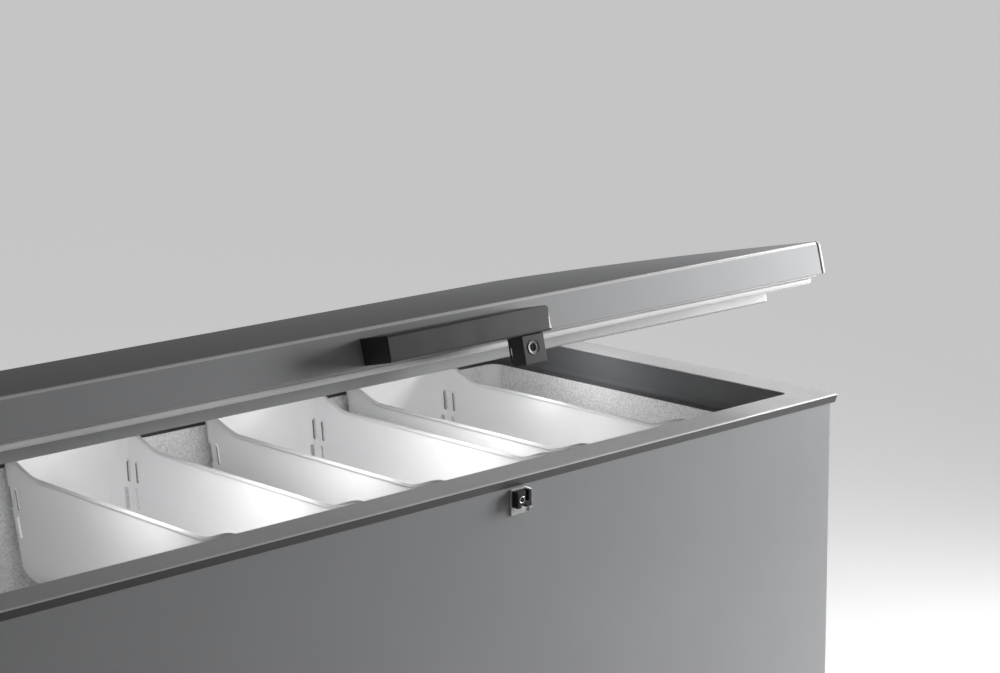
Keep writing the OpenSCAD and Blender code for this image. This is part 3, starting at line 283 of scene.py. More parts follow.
@dataclass(frozen=True)
class MilkyPlastic(Finish):
    """Glossy milk-white plastic that lets some light through."""

    glow: float = 0.35
    reach: float = 6 * MM

    def texture(self, tree: Tree) -> None:
        """Adds the glow inside the wall and the flow marks of the mould."""
        shader = tree.shader.inputs
        shader["Subsurface Weight"].default_value = self.glow
        shader["Subsurface Radius"].default_value = 3 * (self.reach,)
        shader["Subsurface Scale"].default_value = 1
        tree.relief(tree.noise(size=60 * MM, detail=1, stretch=(1, 3, 1)), depth=0.12 * MM)
        tree.relief(tree.noise(size=0.9 * MM, detail=1), depth=0.003 * MM)


@dataclass(frozen=True)
class PlatedMetal(Finish):
    """Bright zinc or chrome over pressed steel, with drawing marks."""

    marks: float = 0.35 * MM
    depth: float = 0.006 * MM

    def texture(self, tree: Tree) -> None:
        """Adds the drawing marks and a faint dimpling."""
        tree.relief(tree.noise(self.marks, detail=2, stretch=(1, 1, 18)), self.depth)
        tree.relief(tree.noise(size=4 * MM, detail=1), depth=0.02 * MM)


@dataclass(frozen=True)
class SpangledSheet(Finish):
    """Galvanised sheet with its crystal spangle."""

    spangle: float = 9 * MM

    def texture(self, tree: Tree) -> None:
        """Adds the spangle to the gloss and a slight relief."""
        crystals = tree.cells(self.spangle, smooth=0.05)
        dull = tree.between(crystals, self.roughness - 0.1, self.roughness + 0.12, start=0.1, end=0.7)
        tree.feed(dull, "Roughness")
        tree.relief(crystals, depth=0.03 * MM)


@dataclass(frozen=True)
class SoftRubber(Finish):
    """Rubber or soft vinyl with a dull, finely pitted skin."""

    def texture(self, tree: Tree) -> None:
        """Adds the pitted skin."""
        tree.relief(tree.noise(size=0.5 * MM, detail=3), depth=0.03 * MM)
        tree.relief(tree.noise(size=8 * MM, detail=1), depth=0.1 * MM)


@dataclass(frozen=True)
class BlownFoam(Finish):
    """Blown insulating foam with a cut, open face."""

    def texture(self, tree: Tree) -> None:
        """Adds the cells of the foam."""
        tree.relief(tree.cells(size=1.6 * MM, smooth=0.2), depth=0.3 * MM)
        tree.relief(tree.noise(size=12 * MM, detail=3), depth=0.5 * MM)


# The numbers after the colour are the roughness, how far it wanders, the mottle and the mottle's size.
FINISHES: dict[str, Finish] = {f.slot: f for f in (
    SatinPaint("cabinet_paint", (0.36, 0.365, 0.375), 0.32, 0.02, 0.015),
    SatinPaint("rim_paint", (0.64, 0.64, 0.648), 0.33, 0.04, 0.02, peel=1.1 * MM),
    # Painted shade: the rim's lip is near black for the shade under the rim's edge.
    SatinPaint("rim_lip_painted_shade", (0.075, 0.075, 0.077), 0.36, 0.04, 0.02, peel=1.1 * MM),
    # Painted highlight: the lid's rounded front edge is paler than the lid's paint.
    SatinPaint("lid_edge_painted_highlight", (0.8, 0.8, 0.805), 0.26, 0.02, 0.015),
    # Painted highlight: the rim's rounded outer edge is paler than the rim's paint.
    SatinPaint("rim_edge_painted_highlight", (0.66, 0.66, 0.665), 0.2, 0.03, 0.02, peel=1.1 * MM),
    SatinPaint("lid_paint", (0.4, 0.405, 0.415), 0.47, 0.02, 0.015, level=0.2),
    SpangledSheet("galvanised", (0.42, 0.43, 0.44), 0.42, metallic=0.85),
    MouldedPlastic("collar_plastic", (0.16, 0.163, 0.167), 0.5, 0.05, 0.04),
    EmbossedSheet("embossed_liner", (0.9, 0.902, 0.905), 0.34, 0.05, 0.02, metallic=0.1),
    BlownFoam("foam", (0.72, 0.62, 0.36), 0.9, 0.05, 0.08, 0.02),
    PlatedMetal("copper", (0.72, 0.36, 0.2), 0.3, 0.08, 0.12, 0.03, metallic=1.0),
    Finish("tube_black", (0.03, 0.03, 0.032), 0.4),
    SatinPaint("compressor_black", (0.015, 0.015, 0.017), 0.32, coat=0.2),
    SoftRubber("rubber_black", (0.018, 0.018, 0.018), 0.75),
    MouldedPlastic("black_plastic", (0.016, 0.016, 0.018), 0.48),
    MouldedPlastic("dark_plastic", (0.045, 0.048, 0.052), 0.42, grain=0.9 * MM),
    MouldedPlastic("white_plastic", (0.68, 0.68, 0.66), 0.4),
    MilkyPlastic("lens", (0.25, 0.6, 0.28), 0.15, 0.03, coat=0.6),
    PlatedMetal("zinc", (0.62, 0.63, 0.64), 0.32, 0.08, 0.05, 0.02, metallic=1.0),
    PlatedMetal("strike_metal", (0.72, 0.72, 0.71), 0.34, 0.06, 0.08, 0.02, metallic=0.25),
    SatinPaint("strike_block", (0.03, 0.03, 0.03), 0.35, 0.05, 0.1, 0.01),
    PlatedMetal("eyelet", (0.8, 0.8, 0.79), 0.2, 0.05, 0.03, 0.01, metallic=1.0),
    PlatedMetal("spring_steel", (0.34, 0.35, 0.36), 0.3, 0.06, 0.05, 0.02, metallic=1.0),
    PlatedMetal("strip_aluminium", (0.95, 0.95, 0.95), 0.3, 0.05, 0.02, 0.02),
    MouldedPlastic("cap_plastic", (0.5, 0.5, 0.51), 0.42, depth=0.012 * MM),
    MouldedPlastic("lid_liner_plastic", (0.47, 0.475, 0.482), 0.4, depth=0.01 * MM),
    MouldedPlastic("frame_plastic", (0.5, 0.5, 0.505), 0.42, depth=0.012 * MM),
    SoftRubber("gasket_rubber", (0.86, 0.86, 0.86), 0.6),
    MouldedPlastic("handle_plastic", (0.048, 0.049, 0.051), 0.38, 0.03, 0.04, level=0.4, grain=0.8 * MM,
                   depth=0.02 * MM),
    MouldedPlastic("lock_plastic", (0.05, 0.051, 0.053), 0.5, 0.04, 0.04, level=0.3, depth=0.015 * MM),
    # Painted highlight: the handle's rounded right end is near white.
    MouldedPlastic("handle_edge_painted_highlight", (0.7, 0.7, 0.705), 0.2, 0.03, 0.02),
    # Painted shade: near black for the lock cylinder's middle and its keyway.
    MouldedPlastic("keyway", (0.008, 0.008, 0.008), 0.6, 0.03, 0.02, level=0.1),
    # Painted shade: darker grey for the insides of the bins' slots and for their hooks.
    MouldedPlastic("bin_slot_painted_shade", (0.2, 0.2, 0.2), 0.5, 0.03, 0.02),
    PlatedMetal("lock_metal", (0.17, 0.17, 0.172), 0.45, 0.05, 0.03, 0.01, metallic=0.3),
    MilkyPlastic("bin_plastic", (0.88, 0.88, 0.885), 0.3, 0.006, 0.006),
    SoftRubber("wheel_rubber", (0.026, 0.026, 0.028), 0.6),
    MouldedPlastic("brake_plastic", (0.42, 0.05, 0.035), 0.4),
)}


# ---------------------------------------------------------------- bench


class Kind(Enum):
    """What a selection in edit mode is made of."""

    CORNERS = "VERT"
    EDGES = "EDGE"
    FACES = "FACE"


@dataclass(frozen=True)
class Outline:
    """Level rounded rectangle: half its length, half its depth, its corners' radius and its height."""

    half_x: float
    half_y: float
    radius: float
    z: float


def arc(steps: int, first: int = 1, turn: float = 90) -> list[float]:
    """Divides a turn, in degrees, into steps and gives the angles in radians."""
    return [math.radians(turn * k / steps) for k in range(first, steps + 1)]


def run(edge: bmesh.types.BMEdge, axis: str) -> float:
    """Length of an edge along one axis."""
    start, end = (getattr(corner.co, axis) for corner in edge.verts)
    return abs(start - end)


def every(item: bmesh.types.BMEdge, test: Callable[[Vector], bool]) -> bool:
    """Tells whether all corners of an edge pass a test of their place."""
    return all(test(corner.co) for corner in item.verts)


class Workpiece:
    """A mesh on the bench that is shaped by one edit-mode operator after another."""

    def __init__(self, name: str) -> None:
        """Takes the object just added as the piece and opens it for editing.

        Args:
            name: Name of the piece.
        """
        self.body = bpy.context.object
        self.body.name = self.body.data.name = name
        bpy.ops.object.transform_apply(location=True, rotation=True, scale=True)
        bpy.ops.object.mode_set(mode="EDIT")
        self.rim: Outline | None = None
        self.centre = Vector((0, 0, 0))

    @staticmethod
    def clear() -> None:
        """Leaves edit mode and deselects everything."""
        if bpy.context.object and bpy.context.object.mode != "OBJECT":
            bpy.ops.object.mode_set(mode="OBJECT")
        bpy.ops.object.select_all(action="DESELECT")

    def take(self) -> Self:
        """Makes the piece the only one that is selected."""
        self.clear()
        self.body.select_set(True)
        bpy.context.view_layer.objects.active = self.body
        return self

    @classmethod
    def block(cls, name: str, low: Iterable[float], high: Iterable[float]) -> Self:
        """Starts from a block between two corners."""
        cls.clear()
        low, high = Vector(low), Vector(high)
        bpy.ops.mesh.primitive_cube_add(size=1, location=(low + high) / 2, scale=high - low)
        return cls(name)

    @classmethod
    def rod(cls, name: str, start: Iterable[float], end: Iterable[float], radius: float,
            sides: int = 48) -> Self:
        """Starts from a round rod.

        Args:
            name: Name of the piece.
            start: Middle of one end.
            end: Middle of the other end.
            radius: Radius of the rod.
            sides: Number of sides.

        Returns:
            The piece, open for editing.
        """
        cls.clear()
        start, end = Vector(start), Vector(end)
        turn = (end - start).to_track_quat("Z", "Y").to_euler()
        bpy.ops.mesh.primitive_cylinder_add(vertices=sides, radius=radius, depth=(end - start).length,
                                            location=(start + end) / 2, rotation=turn)
        return cls(name)

    @classmethod
    def open_rim(cls, name: str, centre: Vector, outline: Outline, steps: int = 6) -> Self:
        """Starts from a plate with rounded corners, of which only the rim is kept.

        Args:
            name: Name of the piece.
            centre: Middle of the outline seen from above.
            outline: Size and height of the rim.
            steps: Edges in each rounded corner.

        Returns:
            The piece, with its rim selected.
        """
        cls.clear()
        bpy.ops.mesh.primitive_plane_add(size=1, location=(centre.x, centre.y, outline.z))
        bpy.context.object.scale = (2 * outline.half_x, 2 * outline.half_y, 1)
        piece = cls(name).all()
        bpy.ops.mesh.bevel(offset=outline.radius, segments=steps, affect="VERTICES")
        piece.all().remove("ONLY_FACE")
        bpy.ops.mesh.select_mode(type="EDGE")
        piece.all()
        piece.rim, piece.centre = outline, Vector(centre)
        return piece

    def pick(self, kind: Kind, test: Callable[..., bool]) -> Self:
        """Selects the corners, edges or faces that a test accepts."""
        bpy.ops.mesh.select_mode(type=kind.value)
        bpy.ops.mesh.select_all(action="DESELECT")
        mesh = bmesh.from_edit_mesh(self.body.data)
        items = {Kind.CORNERS: mesh.verts, Kind.EDGES: mesh.edges, Kind.FACES: mesh.faces}[kind]
        for item in items:
            if test(item):
                item.select_set(True)
        mesh.select_flush_mode()
        bmesh.update_edit_mesh(self.body.data)
        return self

    def slice(self, point: Iterable[float], normal: Iterable[float], **settings: bool) -> Self:
        """Cuts the whole piece along a plane."""
        self.all()
        bpy.ops.mesh.bisect(plane_co=point, plane_no=normal, **settings)
        return self

    def all(self) -> Self:
        """Selects the whole piece."""
        bpy.ops.mesh.select_all(action="SELECT")
        return self

    def open_edges(self) -> Self:
        """Selects the edges at which the mesh is open."""
        bpy.ops.mesh.select_all(action="DESELECT")
        bpy.ops.mesh.select_non_manifold()
        return self

    def move(self, x: float = 0, y: float = 0, z: float = 0) -> Self:
        """Moves what is selected."""
        bpy.ops.transform.translate(value=(x, y, z))
        return self

    def extrude(self, x: float = 0, y: float = 0, z: float = 0) -> Self:
        """Draws what is selected out, so that it stays joined by new faces."""
        bpy.ops.mesh.extrude_region_move(TRANSFORM_OT_translate={"value": (x, y, z)})
        return self

    def bevel(self, width: float, segments: int) -> Self:
        """Rounds the selected edges."""
        bpy.ops.mesh.bevel(offset=width, segments=segments, affect="EDGES")
        return self

    def inset(self, width: float) -> Self:
        """Draws the selected faces in from their edges."""
        bpy.ops.mesh.inset(thickness=width)
        return self

    def remove(self, kind: str = "FACE") -> Self:
        """Deletes what is selected."""
        bpy.ops.mesh.delete(type=kind)
        return self

    def draw_out(self, outlines: Iterable[Outline]) -> Self:
        """Draws the selected rim out through further outlines, corner by corner.

        Args:
            outlines: The outlines in turn.

        Returns:
            The piece, with its last rim selected.
        """
        for new in outlines:
            old = self.rim
            self.extrude(z=new.z - old.z)
            mesh = bmesh.from_edit_mesh(self.body.data)
            mesh.verts.ensure_lookup_table()
            rim = [v.index for v in mesh.verts if v.select]
            change = (new.half_x - old.half_x, new.half_y - old.half_y, new.radius - old.radius)
            if max(map(abs, change)) > 1e-9:
                for sx in (-1, 1):
                    for sy in (-1, 1):
                        self._shape_corner(rim, old, new, sx, sy)
                self._reselect(rim)
            self.rim = new
        return self

    def _shape_corner(self, rim: list[int], old: Outline, new: Outline, sx: int, sy: int) -> None:
        """Scales one corner of a rim about its own middle and moves it out to the new outline."""
        mesh = bmesh.from_edit_mesh(self.body.data)
        mesh.verts.ensure_lookup_table()
        corner = [i for i in rim if (mesh.verts[i].co.x - self.centre.x) * sx > 0
                  and (mesh.verts[i].co.y - self.centre.y) * sy > 0]
        self._reselect(corner)
        x0, y0 = old.half_x - old.radius, old.half_y - old.radius
        ratio = new.radius / old.radius
        middle = (self.centre.x + sx * x0, self.centre.y + sy * y0, new.z)
        if abs(ratio - 1) > 1e-9:
            bpy.ops.transform.resize(value=(ratio, ratio, 1), center_override=middle)
        self.move(sx * (new.half_x - new.radius - x0), sy * (new.half_y - new.radius - y0))

    def _reselect(self, corners: list[int]) -> None:
        """Selects corners by their number, with the edges between them."""
        mesh = bmesh.from_edit_mesh(self.body.data)
        mesh.verts.ensure_lookup_table()
        for group in (mesh.faces, mesh.edges, mesh.verts):
            for item in group:
                item.select = False
        for i in corners:
            mesh.verts[i].select = True
        bpy.context.tool_settings.mesh_select_mode = (False, True, False)
        chosen = set(corners)
        for edge in mesh.edges:
            if edge.verts[0].index in chosen and edge.verts[1].index in chosen:
                edge.select = True
        bmesh.update_edit_mesh(self.body.data)

    def close_ring(self) -> Self:
        """Bridges the last rim to the first, so that the profile closes on itself."""
        self.open_edges()
        bpy.ops.mesh.bridge_edge_loops()
        return self

    def cap(self) -> Self:
        """Closes the selected rim with a face."""
        bpy.ops.mesh.edge_face_add()
        return self

    def modify(self, kind: str, **settings: object) -> Self:
        """Adds a modifier, sets it and applies it."""
        self.take()
        modifier = self.body.modifiers.new(kind, kind)
        for key, value in settings.items():
            setattr(modifier, key, value)
        bpy.ops.object.modifier_apply(modifier=modifier.name)
        return self

    def soften(self, width: float, segments: int = 2, angle: float = 35) -> Self:
        """Rounds every edge that is sharper than an angle."""
        return self.modify("BEVEL", width=width, segments=segments, limit_method="ANGLE",
                           angle_limit=math.radians(angle), use_clamp_overlap=True)

    def thicken(self, wall: float, side: float = -1) -> Self:
        """Gives a sheet its wall; side -1 grows it behind the faces."""
        self.face_out()
        return self.modify("SOLIDIFY", thickness=wall, offset=side, use_even_offset=True)

    def face_out(self) -> Self:
        """Merges doubles and points all faces outwards."""
        self.edit().all()
        bpy.ops.mesh.remove_doubles(threshold=1e-6)
        bpy.ops.mesh.normals_make_consistent(inside=False)
        return self

    def edit(self) -> Self:
        """Opens the piece for editing."""
        if self.body.mode != "EDIT":
            self.take()
            bpy.ops.object.mode_set(mode="EDIT")
        return self

    def cut(self, cutter: "Workpiece", operation: str = "DIFFERENCE") -> Self:
        """Cuts another piece away from this one, or joins them, and removes the other."""
        cutter.face_out()
        self.modify("BOOLEAN", operation=operation, solver="EXACT", object=cutter.body)
        bpy.data.objects.remove(cutter.body)
        return self

    def weld(self, *others: "Workpiece") -> Self:
        """Takes further pieces into this one's mesh."""
        self.take()
        for other in others:
            other.body.select_set(True)
        bpy.ops.object.join()
        return self

    def twin(self, name: str) -> "Workpiece":
        """Copies the piece, with a mesh of its own."""
        self.take()
        bpy.ops.object.duplicate(linked=False)
        return Workpiece(name)

    def shift(self, x: float = 0, y: float = 0, z: float = 0) -> Self:
        """Moves the whole piece."""
        return self.edit().all().move(x, y, z)

    def mark(self, slots: list[str], tell: Callable[[bpy.types.MeshPolygon], int]) -> Self:
        """Gives the piece several finishes.

        Args:
            slots: Names of the finishes.
            tell: Gives the number of the one that a face takes, from 0 up.

        Returns:
            The piece, out of edit mode.
        """
        self.clear()
        for slot in slots:
            self.body.data.materials.append(FINISHES[slot].material())
        for face in self.body.data.polygons:
            face.material_index = tell(face)
        return self

    def finish(self, angle: float = 38, turn: Matrix | None = None) -> bpy.types.Object:
        """Shades the piece, turns it to where it rests and takes it off the bench.

        Args:
            angle: Edges sharper than this stay crisp.
            turn: Matrix that carries the piece to its place.

        Returns:
            The object, at the origin and with its place in its mesh.
        """
        self.take()
        bpy.ops.object.shade_smooth_by_angle(angle=math.radians(angle))
        if turn is not None:
            self.body.matrix_world = turn
            bpy.ops.object.transform_apply(location=True, rotation=True, scale=True)
        self.modify("WEIGHTED_NORMAL", keep_sharp=True)
        return self.body


# ---------------------------------------------------------------- the freezer


@dataclass(frozen=True)
class Layout:
    """Places that all sub-assemblies share."""

    half_l: float
    depth: float
    front_y: float
    rim_z: float
    hinge: Vector
    open_deg: float
    lid_rear: float = 20 * MM

    @classmethod
    def from_frame(cls) -> "Layout":
        """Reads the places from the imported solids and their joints."""
        low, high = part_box("rim_frame")
        joint = next(j for j in frame["joints"] if j["name"] == "lid_hinge")
        return cls(high.x, high.y - low.y, low.y, high.z, Vector(joint["pos_m"]), -joint["range_deg"][0])

    @property
    def lid_turn(self) -> Matrix:
        """Matrix that carries the shut lid to where it stands open."""
        return (Matrix.Translation(self.hinge) @ Matrix.Rotation(math.radians(-self.open_deg), 4, "X")
                @ Matrix.Translation(-self.hinge))

    @property
    def lid_depth(self) -> float:
        """Depth of the lid."""
        return self.depth - self.lid_rear

    def z(self, height: float) -> float:
        """Height above the rim's top, given in mm."""
        return self.rim_z + height * MM

    def cabinet(self, inset: float, radius: float, z: float) -> Outline:
        """Outline that stands in from the cabinet's rim, with its height from the rim's top, all in mm."""
        return Outline(self.half_l - inset * MM, self.depth / 2 - inset * MM, radius * MM, self.z(z))

    def lid(self, inset: float, radius: float, z: float) -> Outline:
        """Outline that stands in from the lid's edge, with its height from the rim's top, all in mm."""
        return Outline(self.half_l - inset * MM, self.lid_depth / 2 - inset * MM, radius * MM, self.z(z))

    @property
    def cabinet_centre(self) -> Vector:
        """Middle of the cabinet seen from above."""
        return Vector((0, self.front_y + self.depth / 2, 0))

    @property
    def lid_centre(self) -> Vector:
        """Middle of the shut lid seen from above."""
        return Vector((0, self.front_y + self.lid_depth / 2, 0))

    def point(self, x: float, y: float, z: float) -> Vector:
        """Point from the rim's front and top, in mm."""
        return Vector((x * MM, self.front_y + y * MM, self.z(z)))


@dataclass
class Assembly:
    """A group of pieces that are built and dressed together."""

    layout: Layout
    body: str = "cabinet"
    made: list[str] = field(default_factory=list)

    def dress(self, piece: bpy.types.Object, slot: str, *stands_for: str, body: str = "") -> bpy.types.Object:
        """Gives a piece its finish, its body and the solids that it stands for.

        Args:
            piece: The finished object; one that is marked already keeps its own finishes.
            slot: Name of its finish.
            stands_for: Solids that it is shown in place of.
            body: Body that it rides on, if not the assembly's own.

        Returns:
            The same object.
        """
        if not piece.data.materials:
            piece.data.materials.append(FINISHES[slot].material())
        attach(piece, body or self.body)
        if stands_for:
            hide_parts(*stands_for)
        self.made.append(piece.name)
        return piece

    def build(self) -> None:
        """Builds all the pieces of the assembly."""
        raise NotImplementedError


@dataclass
class Cabinet(Assembly):
    """Rim, collar and liner round the storage space, in mm from the outer face and the rim's top."""

    rim_w: float = 50
    rim_corner: float = 10
    rim_edge: float = 2.0
    rim_back: Pair = (47, 13)
    lip: float = 12.7
    lip_draft: float = 2.6
    lip_t: float = 2.4
    lip_root: Triple = (6, 1.5, -3)
    collar_in: float = 77
    ledge: float = 42.3
    ledge_t: float = 3
    fillet: float = 8
    seam: float = 1.6
    step_x: float = 397
    step_z: float = 403
    floor_z: float = 643
    liner_t: float = 1.2
    corner_r: float = 15.5
    strip_flanks: Pair = (1, 10)
    strip_proud: float = 0.22
    strip_t: float = 0.3

    def build(self) -> None:
        """Builds the rim, the collar, the liner and its corner strips."""
        self.rim()
        self.collar()
        self.liner()
        self.corner_strips()

    @property
    def inside(self) -> Pair:
        """Half the length and half the depth between the liner's walls, in metres."""
        return self.layout.half_l - self.collar_in * MM, self.layout.depth / 2 - self.collar_in * MM

    def rim(self) -> None:
        """Rim frame: a flat top with a drafted outer lip, painted dark below as shade and painted pale along its
        outer edge as a highlight.
        """
        c, low = self.layout.cabinet, -self.lip
        piece = Workpiece.open_rim("rim_cover", self.layout.cabinet_centre, c(self.lip_draft, 1.5, low))
        edge = [c(self.rim_edge * (1 - math.cos(a)), 3, self.rim_edge * (math.sin(a) - 1)) for a in arc(6, 0)]
        inner = self.rim_w, self.rim_corner
        piece.draw_out([*edge, c(*inner, 0), c(*inner, -self.seam), c(*self.rim_back, -self.seam),
                        c(*self.lip_root), c(self.lip_draft + self.lip_t, 1.2, low)])
        piece.close_ring().face_out().soften(0.9 * MM, 3, 40)
        start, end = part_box("rim_frame")

        def part(face: bpy.types.MeshPolygon) -> int:
            """Tells the top (0), the lip with its painted shade (1) and the outer edge with its painted highlight
            (2).
            """
            at, lean, drop = face.center, face.normal.z, (face.center.z - end.z) / MM
            if min(at.x - start.x, end.x - at.x, at.y - start.y, end.y - at.y) < 3 * MM:
                if 0.12 < lean < 0.98 and drop > -2.4:
                    return 2
            return int(drop < -1.4 and abs(lean) < 0.5)

        # The lip's near-black finish is painted shade; the outer edge's pale finish is a painted highlight.
        piece.mark(["rim_paint", "rim_lip_painted_shade", "rim_edge_painted_highlight"], part)
        self.dress(piece.finish(30), "rim_paint", "rim_frame")

    def collar(self) -> None:
        """Moulded collar with a soft foot that runs into the ledge."""
        c, w, corner, r = self.layout.cabinet, self.rim_w, self.rim_corner, self.fillet
        top, ledge, below = -self.seam - 0.05, -self.ledge, -self.ledge - self.ledge_t
        foot = [c(w + r * (1 - math.cos(a)), corner - r * (1 - math.cos(a)), ledge + r - r * math.sin(a))
                for a in arc(8)]
        edge = self.collar_in - self.liner_t - 0.1
        piece = Workpiece.open_rim("collar", self.layout.cabinet_centre, c(w, corner, top), 8)
        piece.draw_out([c(w, corner, ledge + r), *foot, c(edge - 1, self.corner_r + 1, ledge),
                        c(edge, self.corner_r, ledge - 1), c(edge, self.corner_r, below),
                        c(*self.rim_back, below), c(*self.rim_back, top)])
        piece.close_ring().face_out()
        self.dress(piece.finish(50), "collar_plastic", "inner_collar")

    def liner(self) -> None:
        """Embossed liner: two hollow blocks joined, with the step over the compressor at the right."""
        z, mid = self.layout.z, self.layout.cabinet_centre
        half_x, half_y = self.inside
        top, step, floor, x1 = z(0.3 - self.ledge), z(-self.step_z), z(-self.floor_z), self.step_x * MM
        piece = self._well("liner", mid, half_x, half_y, step, top)
        piece.cut(self._well("well", Vector(((x1 - half_x) / 2, mid.y, 0)), (x1 + half_x) / 2, half_y,
                             floor, step + 20 * MM), "UNION")
        piece.edit().pick(Kind.FACES, lambda f: f.normal.z > 0.9 and f.calc_center_median().z > top - TINY)
        piece.remove().all()
        bpy.ops.mesh.normals_make_consistent(inside=False)
        bpy.ops.mesh.flip_normals()
        piece.modify("SOLIDIFY", thickness=self.liner_t * MM, offset=-1)
        self.dress(piece.finish(32), "embossed_liner", "inner_liner")

    def _well(self, name: str, centre: Vector, half_x: float, half_y: float, low: float,
              high: float) -> Workpiece:
        """Solid block with rounded upright corners."""
        r = self.corner_r * MM
        piece = Workpiece.open_rim(name, centre, Outline(half_x, half_y, r, low), 8).cap()
        return piece.open_edges().draw_out([Outline(half_x, half_y, r, high)]).cap().face_out()

    def corner_strips(self) -> None:
        """Smooth strips that cover the liner's upright corners."""
        z, mid = self.layout.z, self.layout.cabinet_centre.y
        x, y = self.inside
        top, step, floor = z(-self.ledge - 0.1), z(0.8 - self.step_z), z(0.8 - self.floor_z)
        walls = ((-1, x, floor, top), (1, x, step, top), (1, self.step_x * MM, floor, step - 2 * MM))
        first, *rest = [self._strip(Vector((sx * edge, mid + sy * y, 0)), sx, sy, low, high)
                        for sx, edge, low, high in walls for sy in (-1, 1)]
        self.dress(first.weld(*rest).finish(40), "strip_aluminium")

    def _strip(self, corner: Vector, sx: int, sy: int, low: float, high: float) -> Workpiece:
        """One rounded strip: a flank, spun about the corner's middle, and a second flank."""
        narrow, wide = (flank * MM for flank in self.strip_flanks)
        middle = corner - Vector((sx, sy, 0)) * self.corner_r * MM
        x = middle.x + sx * (self.corner_r - self.strip_proud) * MM
        Workpiece.clear()
        bpy.ops.mesh.primitive_plane_add(size=1, location=(x, middle.y - sy * narrow / 2, (low + high) / 2),
                                         rotation=(0, math.pi / 2, 0))
        bpy.context.object.scale = (high - low, narrow, 1)
        piece = Workpiece("corner_strips")
        piece.pick(Kind.EDGES, lambda e: every(e, lambda at: abs(at.y - middle.y) < TINY))
        bpy.ops.mesh.spin(steps=8, angle=math.radians(90), center=(middle.x, middle.y, 0),
                          axis=(0, 0, -sx * sy))
        piece.extrude(x=-sx * wide).face_out()
        return piece.modify("SOLIDIFY", thickness=self.strip_t * MM, offset=0)


@dataclass
class Strike(Assembly):
    """Strike plate with its keeper block and eyelet, in mm from the plate's rear and the rim's top."""

    plate_x: Pair = (78, 112.9)
    plate_z: Pair = (-48.5, -15.2)
    plate_t: float = 2.5
    clip_x: float = 103
    block_x: Pair = (79.5, 103)
    block_z: Pair = (-38, -17)
    block_y: float = -13
    notches: tuple[tuple[Pair, Pair], ...] = (((93, 98), (-30, -12)), ((86, 94), (-45, -34)))
    notch_d: float = 7
    eyelet_at: Pair = (86, -27)
    eyelet_y: Pair = (-13.8, -11.8)
    eyelet_r: float = 4.6
    eyelet_wall: float = 1.6

    def build(self) -> None:
        """Builds the plate, the keeper block and the eyelet."""
        self.plate()
        self.keeper()
        self.eyelet()

    def _place(self, x: float, y: float, z: float) -> Vector:
        """Point of the strike."""
        return Vector((x * MM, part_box("lock_strike")[1].y + y * MM, self.layout.z(z)))

    def _block(self, name: str, xs: Pair, ys: Pair, zs: Pair) -> Workpiece:
        """Block between two places along each axis."""
        return Workpiece.block(name, *(self._place(*corner) for corner in zip(xs, ys, zs)))

    def plate(self) -> None:
        """Pressed plate with a clipped upper corner."""
        piece = self._block("strike_plate", self.plate_x, (-self.plate_t, 0), self.plate_z)
        clip = self._place(self.clip_x, 0, self.plate_z[1])
        piece.slice((clip.x, 0, clip.z), (0.5, 0, 1), clear_outer=True, use_fill=True)
        piece.pick(Kind.EDGES, lambda e: run(e, "y") > 2 * MM).bevel(1.5 * MM, 3)
        piece.face_out().soften(0.7 * MM, 3, 40)
        self.dress(piece.finish(40), "strike_metal", "lock_strike")

    def keeper(self) -> None:
        """Dark keeper block with two notches."""
        front = self.block_y
        piece = self._block("strike_block", self.block_x, (front, 0.1 - self.plate_t), self.block_z)
        for xs, zs in self.notches:
            piece.cut(self._block("notch", xs, (front - 1, front + self.notch_d), zs))
        piece.face_out().soften(0.8 * MM, 3, 40)
        self.dress(piece.finish(40), "strike_block")

    def eyelet(self) -> None:
        """Bright ring that stands out of the keeper block."""
        x, z = self.eyelet_at
        ends = [self._place(x, y, z) for y in self.eyelet_y]
        piece = Workpiece.rod("strike_eyelet", *ends, self.eyelet_r * MM, 40)
        for end in ends:
            piece.pick(Kind.FACES, lambda f: abs(f.normal.y) > 0.9
                       and abs(f.calc_center_median().y - end.y) < TINY)
            piece.inset(self.eyelet_wall * MM).remove()
        bpy.ops.mesh.select_mode(type="EDGE")
        piece.close_ring().face_out().soften(0.6 * MM, 3, 40)
        self.dress(piece.finish(40), "eyelet")


